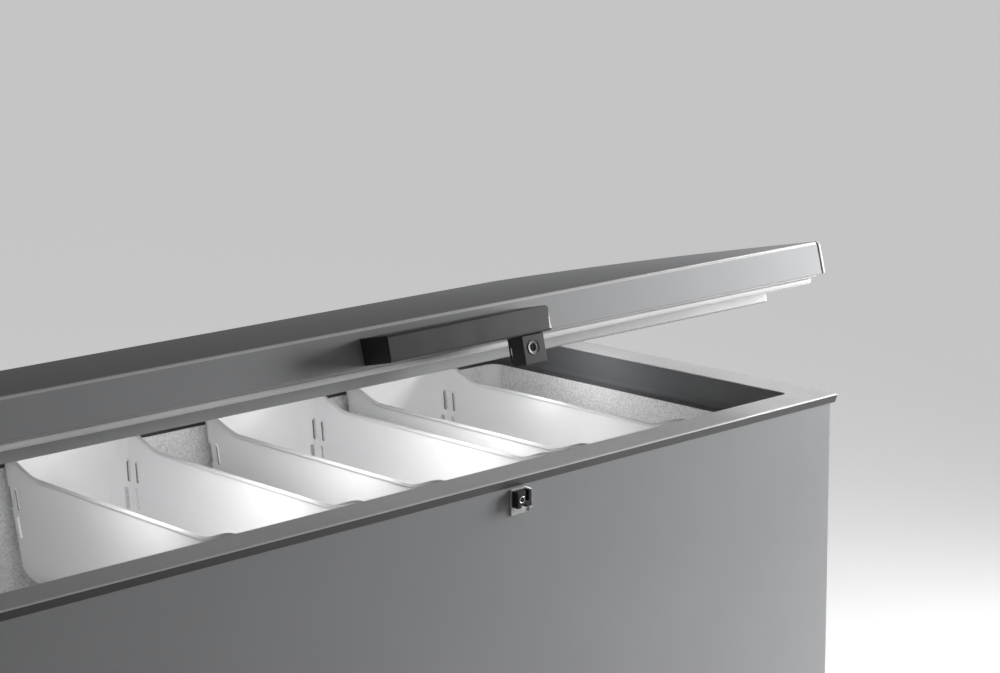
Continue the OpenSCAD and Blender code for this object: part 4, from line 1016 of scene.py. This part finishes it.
@dataclass
class Lid(Assembly):
    """Crowned lid: steel skin, end caps, frame band, gasket and inner panel, in mm from the rim's top.

    A ring of a profile has its inset from the lid's edge, the radius of its corners and its height.
    """

    body: str = "lid"
    top: float = 64.8
    crown: float = 7.8
    peak: float = 0.765
    edge: float = 5
    lean: float = 1.5
    frame_z: float = 6.0
    band_z: float = 9.2
    skin_z: float = 11.7
    skin_t: float = 1.2
    flange: float = 13
    band_in: float = 7
    cap_t: float = 5
    gap: float = 3
    spigot: float = 20
    plug_in: float = 56.6
    plug_drop: float = 15
    plug_r: float = 12
    foot: float = 2.5
    panel_t: float = 2
    panel_rings: tuple[Triple, ...] = ((92, 9, 0), (94, 8, 0.6), (99, 6, 4.4), (101, 5, 5), (180, 5, 5))
    seal_rings: tuple[Triple, ...] = (
        (13.4, 8, 8), (12.8, 8, 6.4), (13.0, 8, 4.2), (14.2, 8, 2), (16, 7, 0.9), (18.6, 7, 0.4),
        (30.4, 6, 0.4), (32.4, 6, 1.1), (33.8, 6, 2.5), (32.6, 6, 3.5), (34, 6, 4.3), (33.2, 6, 5.9),
        (33.2, 6, 9.0))
    rows: int = 32

    def height(self, y: float) -> float:
        """Height of the crown above the rim at y from the lid's front, in mm."""
        return self.top - self.crown * (1 - y / (self.peak * self.layout.lid_depth / MM)) ** 2

    def crowned_block(self, name: str, x0: float, x1: float, inset: float, bottom: float) -> Workpiece:
        """Block with the lid's leaning front and crowned top.

        Args:
            name: Name of the piece.
            x0: Left end, in mm.
            x1: Right end, in mm.
            inset: How far it stands inside the lid's outer face, in mm.
            bottom: Height of its underside above the rim, in mm.

        Returns:
            The piece, open for editing.
        """
        depth = self.layout.lid_depth / MM
        y0, y1 = inset, depth - inset
        top = self.top - inset
        piece = Workpiece.block(name, self.layout.point(x0, y0, bottom), self.layout.point(x1, y1, top))
        margin = 2.4 * self.edge
        ys = [margin + (depth - 2 * margin) * k / self.rows for k in range(self.rows + 1)]
        for y in ys:
            piece.slice(self.layout.point(0, y, 0), (0, 1, 0))
        level = self.layout.point(0, 0, (bottom + top) / 2).z
        for y in (y0, *ys, y1):
            at = self.layout.point(0, y, 0).y
            measured = min(max(y, self.edge), depth - self.edge)
            piece.pick(Kind.CORNERS, lambda v: v.co.z > level and abs(v.co.y - at) < TINY)
            piece.move(0, self.lean * MM if y == y0 else 0, (self.height(measured) - self.top) * MM)
        ends = [self.layout.point(0, y0 + self.lean, 0).y, self.layout.point(0, y1, 0).y]
        piece.pick(Kind.EDGES, lambda e: any(every(e, lambda p: p.z > level and abs(p.y - at) < TINY)
                                             for at in ends))
        return piece.bevel(max(self.edge - inset, 1) * MM, 7)

    def build(self) -> None:
        """Builds the lid's pieces with the lid shut and turns each to where it rests."""
        self.skin()
        self.end_caps()
        self.frame_band()
        self.gasket()
        self.inner_panel()

    def _turned(self, piece: Workpiece, angle: float = 38) -> bpy.types.Object:
        """Finishes a piece with the lid's turn."""
        return piece.finish(angle, self.layout.lid_turn)

    def skin(self) -> None:
        """Painted sheet folded over the top, front and rear, with a return below."""
        end = self.layout.half_l / MM - self.cap_t - self.gap
        piece = self.crowned_block("lid_skin_sheet", -end, end, 0, self.skin_z)
        folds = [self.layout.point(0, y, 0) for y in (self.flange, self.layout.lid_depth / MM - self.flange)]
        for fold in folds:
            piece.slice(fold, (0, 1, 0))
        ys = [fold.y for fold in folds]
        piece.pick(Kind.FACES, lambda f: f.normal.z < -0.9
                   and ys[0] < f.calc_center_median().y < ys[1] or abs(f.normal.x) > 0.9)
        piece.remove()
        low = self.layout.point(0, 0, self.skin_z)
        piece.pick(Kind.EDGES, lambda e: every(e, lambda p: abs(p.z - low.z) < TINY
                                               and abs(p.y - low.y) < TINY))
        piece.bevel(self.skin_t * MM, 3).thicken(self.skin_t * MM)
        # The rounded front edge takes a pale finish, a painted highlight.
        piece.mark(["lid_paint", "lid_edge_painted_highlight"],
                   lambda f: int(f.normal.y < -0.3 and 0.35 < f.normal.z < 0.93))
        self.dress(self._turned(piece, 30), "lid_paint", "lid_skin")

    def end_caps(self) -> None:
        """Moulded caps at both ends, each with a black spigot behind its shadow gap, painting the gap's shade
        darker.
        """
        half = self.layout.half_l / MM
        inner = half - self.cap_t - self.gap - self.spigot
        for sign, side in ((-1, "left"), (1, "right")):
            xs = sorted((sign * (half - self.cap_t), sign * half))
            plate = self.crowned_block(f"end_cap_{side}", *xs, 0, self.skin_z)
            plate.soften(1.1 * MM, 3, 40)
            self.dress(self._turned(plate), "cap_plastic", f"lid_end_cap_{side}")
            xs = sorted((sign * inner, sign * (half - self.cap_t + 0.5)))
            spigot = self.crowned_block(f"end_spigot_{side}", *xs, 3, self.skin_z + 3)
            # The spigot's black finish is painted shade in the gap between skin and cap.
            self.dress(self._turned(spigot), "black_plastic")

    def frame_band(self) -> None:
        """Moulded frame between the skin and the gasket."""
        c, low, high = self.layout.lid, self.band_z, self.skin_z - 0.1
        outer, inner, field_in = (self.band_in, 8), (self.plug_in - 0.2, self.plug_r), (35, 8)
        piece = Workpiece.open_rim("frame_band", self.layout.lid_centre, c(*outer, low))
        piece.draw_out([c(*outer, high), c(*inner, high), c(*inner, self.frame_z), c(*field_in, self.frame_z),
                        c(*field_in, low)])
        piece.close_ring().face_out().soften(0.5 * MM, 2, 30)
        self.dress(self._turned(piece), "frame_plastic", "lid_frame")

    def gasket(self) -> None:
        """Magnetic gasket with a folded side."""
        c = self.layout.lid
        piece = Workpiece.open_rim("door_seal", self.layout.lid_centre, c(15.4, 8, 9.0))
        piece.draw_out([c(*ring) for ring in self.seal_rings]).close_ring().face_out()
        self.dress(self._turned(piece, 60), "gasket_rubber", "lid_gasket")

    def inner_panel(self) -> None:
        """Formed inner panel that drops into the collar, with a shallow sunk field."""
        c, low, b, r = self.layout.lid, -self.plug_drop, self.foot, self.plug_r
        foot = [c(self.plug_in + b * (1 - math.cos(a)), r - b * 0.5 * (1 - math.cos(a)),
                  low + b - b * math.sin(a)) for a in arc(5)]
        hem = c(self.plug_in, r, self.skin_z + 1.5)
        piece = Workpiece.open_rim("inner_panel", self.layout.lid_centre, hem, 8)
        piece.draw_out([c(self.plug_in, r, low + b), *foot,
                        *(c(inset, radius, low + rise) for inset, radius, rise in self.panel_rings)]).cap()
        piece.thicken(self.panel_t * MM)
        self.dress(self._turned(piece, 40), "lid_liner_plastic", "lid_liner")


@dataclass
class HandleAndLock(Assembly):
    """Grip across the lid's front, with the key lock hanging below it, in mm from the rim's front and top."""

    body: str = "lid"
    half: float = 127
    low: float = 13.5
    high: float = 45
    out: float = 49.5
    wall: float = 4
    roof: float = 4.5
    end_r: float = 6
    front_r: float = 5
    top_r: float = 3
    under_r: float = 3.2
    lock_x: float = 94
    lock_w: float = 36
    lock_d: float = 26.5
    lock_low: float = -21.5
    key_x: float = 92.5
    key_z: float = -1.8
    key_r: float = 9
    key_ring: float = 1.7
    keyway: Pair = (1.4, 6.8)
    chamfer: Pair = (6, 9)
    slot_w: float = 7.4
    slot_y: Pair = (-5.2, -1.8)
    slot_z: Pair = (-12, 4)
    pocket_y: Pair = (-9, 1)
    neck_y: Pair = (4.2, -1.2)
    neck_z: Pair = (-1.1, -8.2)
    neck_in: float = 2.2
    shell: float = 2

    def build(self) -> None:
        """Builds the handle, the lock housing and the lock cylinder."""
        self.handle()
        self.housing()
        self.cylinder()

    def handle(self) -> None:
        """Solid-looking grip with rounded front corners and a finger hollow below."""
        p, half, skin = self.layout.point, self.half, -0.1
        piece = Workpiece.block("handle_grip", p(-half, -self.out, self.low), p(half, skin, self.high))
        front, low = p(0, -self.out, 0).y + TINY, p(0, 0, self.low).z + TINY
        rear, top = p(0, skin, 0).y - TINY, p(0, 0, self.high).z - TINY
        piece.pick(Kind.CORNERS, lambda v: v.co.y > rear and v.co.z > top).move(0, 1.15 * MM)
        piece.pick(Kind.EDGES, lambda e: run(e, "y") > 20 * MM
                   and every(e, lambda at: at.z > top and at.x > 0))
        piece.bevel(self.end_r * MM, 6)
        piece.pick(Kind.EDGES, lambda e: every(e, lambda at: at.y < front and at.z > top))
        piece.bevel(self.top_r * MM, 5)
        piece.pick(Kind.EDGES, lambda e: every(e, lambda at: at.y < front and at.z < low))
        piece.bevel(self.under_r * MM, 5)
        piece.pick(Kind.EDGES, lambda e: run(e, "z") > 20 * MM
                   and every(e, lambda at: at.y < front + MM and at.x > 0))
        piece.bevel(self.front_r * MM, 8)
        hollow = Workpiece.block(
            "hollow", p(self.wall - half, self.roof - self.out, self.low - self.wall),
            p(self.lock_x - self.lock_w / 2 - self.wall, -self.wall, self.high - self.roof))
        ceiling = p(0, 0, self.high - self.roof).z - 0.5 * MM
        hollow.pick(Kind.EDGES, lambda e: every(e, lambda at: at.z > ceiling)).bevel(6 * MM, 4)
        piece.cut(hollow).soften(1.1 * MM, 3, 40)
        x, y = (half - self.end_r) * MM, front + self.end_r * MM
        # The rounded right end takes a near-white finish, a painted highlight.
        piece.mark(["handle_plastic", "handle_edge_painted_highlight"], lambda f: int(
            f.center.x > x and f.center.y < y and 0.15 < f.normal.x < 0.97 and f.normal.z > -0.5))
        self.dress(piece.finish(30, self.layout.lid_turn), "handle_plastic", "handle")

    def housing(self) -> None:
        """Lock housing with a chamfered rear corner and slim slots through its cheeks."""
        p = self.layout.point
        x0, x1 = self.lock_x - self.lock_w / 2, self.lock_x + self.lock_w / 2
        y0, y1 = -self.out, -self.out + self.lock_d
        piece = Workpiece.block("lock_shell", p(x0, y0, self.lock_low), p(x1, y1, self.low - 0.1))
        deep, high = self.chamfer
        piece.slice(p(0, y1 - deep, self.lock_low), (0, high, -deep), clear_outer=True, use_fill=True)
        piece.face_out().soften(1.0 * MM, 3, 30)
        ys, zs = [y1 + size for size in self.slot_y], [self.key_z + size for size in self.slot_z]
        for x in (x0 - 1, self.key_x + self.key_r + 1.5):
            slot = Workpiece.block("slot", p(x, ys[0], zs[0]), p(x + self.slot_w, ys[1], zs[1]))
            slot.pick(Kind.EDGES, lambda e: run(e, "x") > 5 * MM).bevel(1.65 * MM, 4)
            piece.cut(slot)
        t, (near, far) = self.shell, self.pocket_y
        pocket = Workpiece.block("pocket", p(x0 + t, y1 + near, self.lock_low + t),
                                 p(x1 - t, y1 + far, self.low - t - 1))
        pocket.pick(Kind.EDGES, lambda e: run(e, "y") > 5 * MM).bevel(1.5 * MM, 3)
        piece.cut(pocket).cut(self._rod("bore", y0 - 2, y1 + 2, self.key_r + 0.1, 48))
        t, (near, far), (foot, head) = self.neck_in, self.neck_y, self.neck_z
        neck = Workpiece.block("neck", p(x0 + t, y0 + near, self.low + foot),
                               p(x1 - t, y1 + far, self.high + head))
        piece.weld(neck)
        self.dress(piece.finish(30, self.layout.lid_turn), "lock_plastic", "lock_housing")

    def _rod(self, name: str, start: float, end: float, radius: float, sides: int) -> Workpiece:
        """Round rod on the lock's axis, from one depth to another."""
        p = self.layout.point
        return Workpiece.rod(name, p(self.key_x, start, self.key_z), p(self.key_x, end, self.key_z),
                             radius * MM, sides)

    def cylinder(self) -> None:
        """Turned lock cylinder with a raised ring, a dished face and a keyway."""
        front, rear = -self.out - 1, -self.out + self.lock_d
        piece = self._rod("key_cylinder", front, rear + 0.2, self.key_r, 64)
        piece.pick(Kind.FACES, lambda f: f.normal.y < -0.9 and f.calc_area() > 1e-6)
        piece.inset(self.key_ring * MM).move(y=0.9 * MM)
        piece.inset(2.4 * MM).inset(0.3 * MM).move(y=-0.7 * MM)
        piece.soften(0.35 * MM, 2, 40)
        wide, high = (size / 2 for size in self.keyway)
        piece.cut(Workpiece.block(
            "keyway", self.layout.point(self.key_x - wide, front - 1, self.key_z - high),
            self.layout.point(self.key_x + wide, front + 8, self.key_z + high)))
        piece.weld(self._rod("tail", rear - 0.5, rear + 4.5, 4, 24))
        axis = self.layout.point(self.key_x, front + 9, self.key_z)
        # The cylinder's dished middle and keyway take a near-black finish, painted shade of the keyway.
        piece.mark(["lock_metal", "keyway"], lambda f: int(
            math.hypot(f.center.x - axis.x, f.center.z - axis.z) < 5 * MM and f.center.y < axis.y))
        self.dress(piece.finish(30, self.layout.lid_turn), "lock_metal", "lock_cylinder", body="lock")


@dataclass
class Bins(Assembly):
    """Three moulded bins that hang on the ledge by hooks at their ends, in mm from the rim's top."""

    width: float = 200
    high: float = 20
    low: float = 37.5
    deep: float = 177
    wall: float = 2.2
    bead: float = 3
    bead_r: float = 2.6
    bead_in: float = 1.2
    bead_drop: float = 2.7
    corner_r: float = 16
    curve: Pair = (94, 25)
    cuts: Pair = (96, 23)
    steps: int = 14
    front: float = 79.8
    rest_z: float = 42.0
    reach: float = 291.4
    hook_half: float = 60
    slots: Pair = (20, 37.5)
    slot_rows: Pair = (75, 113)
    slot_size: Pair = (5.4, 30)
    slot_shade: Pair = (58, 112)
    lean: float = 8
    foot_r: float = 36
    draft: Pair = (6, 8)

    @property
    def half_y(self) -> float:
        """Half the length of a bin over its bead."""
        return self.layout.depth / MM / 2 - self.front

    def drop(self, y: float) -> float:
        """How far the rim lies below its high ends at y from the bin's middle, in mm."""
        low, high = (self.half_y - end for end in self.curve)
        t = min(max((abs(y) - low) / (high - low), 0), 1)
        return (self.low - self.high) * (1 - t * t * (3 - 2 * t))

    @property
    def taper(self) -> float:
        """How much the long walls lean in for each mm that they go down."""
        return self.draft[0] / (self.deep - self.foot_r)

    def build(self) -> None:
        """Models one bin and copies it to the three places."""
        pattern = self.pattern()
        for side in ("left", "middle", "right"):
            node = "bin_" + side
            low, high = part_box(node)
            copy = pattern.twin(f"basket_{side}").shift((low.x + high.x) / 2)
            self.dress(copy.finish(40), "bin_plastic", node, body=node)
        bpy.data.objects.remove(pattern.body)

    def _outline(self, half_x: float, half_y: float, radius: float, z: float) -> Outline:
        """Outline of a bin."""
        return Outline(half_x * MM, half_y * MM, radius * MM, self.layout.z(z))

    def pattern(self) -> Workpiece:
        """Shapes the one bin that the others are copied from."""
        w, l, r, corner = self.width / 2 - self.bead, self.half_y - self.bead, self.foot_r, self.corner_r
        dx, dy = self.draft
        top, foot = -self.high, -self.high - self.deep
        mouth = self._outline(w, l, corner, top)
        piece = Workpiece.open_rim("bin_pattern", self.layout.cabinet_centre, mouth, 8)
        slope = [self._outline(w - dx * t, l - dy * t, corner + (r - corner) * t, top + (foot + r - top) * t)
                 for t in (0.33, 0.66, 1)]
        sole = [self._outline(w - dx - r * (1 - math.cos(a)), l - dy - r * (1 - math.cos(a)), r * math.cos(a),
                              foot + r - r * math.sin(a)) for a in arc(7, turn=86)]
        piece.draw_out([*slope, *sole]).cap()
        self._curve_rim(piece, w)
        piece.thicken(self.wall * MM)
        self._cut_slots(piece)
        return piece.weld(self._bead(w, l), *self._hooks())

    def _curve_rim(self, piece: Workpiece, w: float) -> None:
        """Lowers the long sides of the rim along the wall in a soft curve."""
        mid, top = self.layout.cabinet_centre.y, self.layout.z(-self.high)
        first, last = (self.half_y - end for end in self.cuts)
        stations = [first + (last - first) * k / self.steps for k in range(self.steps + 1)]
        ys = sorted([-s for s in stations] + stations)
        for y in ys:
            piece.slice((0, mid + y * MM, 0), (0, 1, 0))
        for y in ys:
            d, at = self.drop(y), mid + y * MM
            if d > 1e-4:
                piece.pick(Kind.CORNERS, lambda v: v.co.z > top - TINY and abs(v.co.y - at) < TINY)
                bpy.ops.transform.resize(value=((w - self.taper * d) / w, 1, 1), center_override=(0, at, top))
                piece.move(z=-d * MM)

    def _cut_slots(self, piece: Workpiece) -> None:
        """Cuts two rows of two slots through both walls near each end."""
        mid = self.layout.cabinet_centre.y
        wide, high = (size / 2 * MM for size in self.slot_size)
        reach = 0.55 * self.width * MM
        for s in (-1, 1):
            for inset in self.slots:
                for row in self.slot_rows:
                    y, z = mid + s * (self.half_y - self.bead - inset) * MM, self.layout.z(-row)
                    slot = Workpiece.block("slot", (-reach, y - wide, z - high), (reach, y + wide, z + high))
                    slot.pick(Kind.EDGES, lambda e: run(e, "x") > reach).bevel(wide - 0.25 * MM, 4).all()
                    bpy.ops.transform.rotate(value=math.radians(self.lean * s), orient_axis="X",
                                             center_override=(0, y, z))
                    piece.cut(slot)

        def part(face: bpy.types.MeshPolygon) -> int:
            """Tells the inside of a slot (1), which takes a darker grey as painted shade, from the rest (0)."""
            from_end = self.half_y - self.bead - abs(face.center.y - mid) / MM
            drop = (self.layout.rim_z - face.center.z) / MM
            near = min(abs(from_end - inset) for inset in self.slots) < 4
            shaded = self.slot_shade[0] < drop < self.slot_shade[1]
            return int(near and shaded and abs(face.normal.x) < 0.5 and face.area < 2e-4)

        # Slot insides within these depths take a darker grey, painted shade.
        piece.mark(["bin_plastic", "bin_slot_painted_shade"], part)

    def _bead(self, w: float, l: float) -> Workpiece:
        """Rolled bead along the rim: half of its path, and the same half turned, swept with a round."""
        mid, corner, bend = self.layout.cabinet_centre.y, self.corner_r, self.corner_r - self.bead_in

        def at(x: float, y: float, drop: float = 0) -> Vector:
            """Point on the bead's path."""
            return Vector((x * MM, mid + y * MM, self.layout.z(-self.high - drop - self.bead_drop)))

        half = []
        for y in (-(l - corner) + 2 * (l - corner) * k / 60 for k in range(61)):
            d = self.drop(y)
            half.append(at(w - self.taper * d - self.bead_in, y, d))
        turn = [(w - corner + bend * math.cos(a), l - corner + bend * math.sin(a)) for a in arc(9)[:-1]]
        half += [at(x, y) for x, y in turn]
        half += [at(x, l - self.bead_in) for x in (w - corner, 0, corner - w)]
        half += [at(-x, y) for x, y in reversed(turn)]
        path = half + [Vector((-p.x, 2 * mid - p.y, p.z)) for p in half]
        curve = bpy.data.curves.new("bead", "CURVE")
        curve.dimensions = "3D"
        curve.bevel_depth = self.bead_r * MM
        curve.bevel_resolution = 3
        spline = curve.splines.new("POLY")
        spline.points.add(len(path) - 1)
        for point, place in zip(spline.points, path):
            point.co = (*place, 1)
        spline.use_cyclic_u = True
        Workpiece.clear()
        body = bpy.data.objects.new("bead", curve)
        bpy.context.scene.collection.objects.link(body)
        body.select_set(True)
        bpy.context.view_layer.objects.active = body
        bpy.ops.object.convert(target="MESH")
        return Workpiece("bead").face_out().mark(["bin_plastic"], lambda face: 0)

    def _hooks(self) -> list[Workpiece]:
        """Hooks that reach from the bin's high ends onto the ledge, in the slots' darker grey, which paints shade
        on them.
        """
        mid, z, half, t = self.layout.cabinet_centre.y, self.layout.z, self.hook_half * MM, self.bead
        low, high = z(-self.high - t), z(-self.high)
        hooks = []
        for s in (-1, 1):
            ys = sorted((mid + s * (self.half_y - t - 1) * MM, mid + s * self.reach * MM))
            piece = Workpiece.block("hook", (-half, ys[0], low), (half, ys[1], high))
            outer = mid + s * (self.reach - t) * MM
            piece.slice((0, outer, 0), (0, 1, 0))
            piece.pick(Kind.FACES, lambda f: f.normal.z < -0.9 and (f.calc_center_median().y - outer) * s > 0)
            piece.extrude(z=z(-self.rest_z) - low).face_out().soften(0.9 * MM, 3, 40)
            # The hooks take the same darker grey, painted shade.
            hooks.append(piece.mark(["bin_slot_painted_shade"], lambda face: 0))
        return hooks


@dataclass
class SolidParts(Assembly):
    """Solids whose own shape is right and that only need their finish."""

    def build(self) -> None:
        """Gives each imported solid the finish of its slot."""
        for part in frame["record"]["subparts"]:
            node = frame["nodes"][part["node"]]
            node.data.materials.clear()
            node.data.materials.append(FINISHES[part["material_slot"]].material())


# ---------------------------------------------------------------- studio


@dataclass(frozen=True)
class Lamp:
    """A soft box: where it stands, what it looks at, how wide and how bright it is."""

    name: str
    place: Triple
    target: Triple
    width: float
    height: float
    power: float
    hidden: bool = False

    def light(self) -> None:
        """Sets the lamp up."""
        data = bpy.data.lights.new(self.name, "AREA")
        data.shape = "RECTANGLE"
        data.size, data.size_y, data.energy = self.width, self.height, self.power
        lamp = bpy.data.objects.new(self.name, data)
        bpy.context.scene.collection.objects.link(lamp)
        lamp.location = self.place
        lamp.rotation_euler = (Vector(self.target) - Vector(self.place)).to_track_quat("-Z", "Y").to_euler()
        lamp.visible_camera = False
        lamp.visible_glossy = not self.hidden


@dataclass
class Studio:
    """Pale floor, soft lamps and the camera."""

    floor_half: float = 28.0
    floor_colour: Triple = (0.72, 0.72, 0.72)
    floor_glow: float = 0.5
    fill: float = 0.075
    backdrop: float = 0.8
    camera_place: Triple = (-1.7982, -2.3406, 1.5405)
    yaw: float = 42.95
    pitch: float = 11.94
    roll: float = -0.60
    lens: float = 84.06
    sensor: float = 36
    sight: float = 60
    lamps: tuple[Lamp, ...] = (
        Lamp("key", (2.12, -1.1, 1.15), (0.45, -0.3, 0.7), 0.9, 0.9, 52),
        Lamp("edge", (1.55, -0.1, 1.6), (0.45, -0.2, 0.85), 1.4, 0.3, 10),
        Lamp("back", (-0.9, 3.0, 0.55), (0.0, 0.35, 0.42), 2.2, 0.9, 18),
        Lamp("inside", (-0.07, -0.09, 0.822), (-0.07, 0.1, 0.42), 0.98, 0.1, 1.56, True),
        Lamp("end", (0.56, 0.06, 0.815), (0.63, 0.09, 0.68), 0.06, 0.2, 0.13, True),
    )

    def build(self) -> None:
        """Builds the floor, the world, the lamps and the camera."""
        self.floor()
        self.world()
        for lamp in self.lamps:
            lamp.light()
        self.camera()
        bpy.context.scene.view_settings.view_transform = "Standard"

    def floor(self) -> None:
        """Seamless floor sheet, slightly mottled and paler to the camera."""
        Workpiece.clear()
        bpy.ops.mesh.primitive_plane_add(size=2 * self.floor_half, location=(0, 0, 0))
        piece = Workpiece("studio_floor").all()
        bpy.ops.mesh.subdivide(number_cuts=3)
        body = piece.finish()
        sheet = Finish("floor", self.floor_colour, roughness=0.6, wander=0.04, mottle=0.015,
                       mottle_size=0.6).material()
        nodes, links = sheet.node_tree.nodes, sheet.node_tree.links
        path = nodes.new("ShaderNodeLightPath")
        glow = nodes.new("ShaderNodeMath")
        glow.operation = "MULTIPLY"
        glow.inputs[1].default_value = self.floor_glow
        links.new(path.outputs["Is Camera Ray"], glow.inputs[0])
        shader = nodes["Principled BSDF"].inputs
        shader["Emission Color"].default_value = (1, 1, 1, 1)
        links.new(glow.outputs["Value"], shader["Emission Strength"])
        body.data.materials.append(sheet)

    def world(self) -> None:
        """Even fill light, with a pale backdrop where the camera sees it."""
        world = bpy.data.worlds.new("studio")
        bpy.context.scene.world = world
        world.use_nodes = True
        nodes, links = world.node_tree.nodes, world.node_tree.links
        fill = nodes["Background"]
        fill.inputs["Color"].default_value = (1, 1, 1, 1)
        fill.inputs["Strength"].default_value = self.fill
        seen = nodes.new("ShaderNodeBackground")
        seen.inputs["Color"].default_value = (1, 1, 1, 1)
        seen.inputs["Strength"].default_value = self.backdrop
        path = nodes.new("ShaderNodeLightPath")
        mix = nodes.new("ShaderNodeMixShader")
        links.new(path.outputs["Is Camera Ray"], mix.inputs["Fac"])
        links.new(fill.outputs["Background"], mix.inputs[1])
        links.new(seen.outputs["Background"], mix.inputs[2])
        links.new(mix.outputs["Shader"], nodes["World Output"].inputs["Surface"])

    def camera(self) -> None:
        """Long lens from the front left, a little above the lid."""
        data = bpy.data.cameras.new("camera")
        data.lens, data.sensor_width, data.sensor_fit = self.lens, self.sensor, "HORIZONTAL"
        data.clip_end = self.sight
        camera = bpy.data.objects.new("camera", data)
        bpy.context.scene.collection.objects.link(camera)
        turn = (Matrix.Rotation(math.radians(-self.yaw), 4, "Z")
                @ Matrix.Rotation(math.radians(90 - self.pitch), 4, "X")
                @ Matrix.Rotation(math.radians(self.roll), 4, "Z"))
        camera.matrix_world = Matrix.Translation(self.camera_place) @ turn
        bpy.context.scene.camera = camera


def main() -> None:
    """Builds the studio and every sub-assembly in order."""
    layout = Layout.from_frame()
    Studio().build()
    SolidParts(layout).build()
    for assembly in (Cabinet(layout), Strike(layout), Lid(layout), HandleAndLock(layout), Bins(layout)):
        assembly.build()
        for name in assembly.made:
            log.info("%s: %s", type(assembly).__name__, name)


if __name__ == "__main__":
    main()
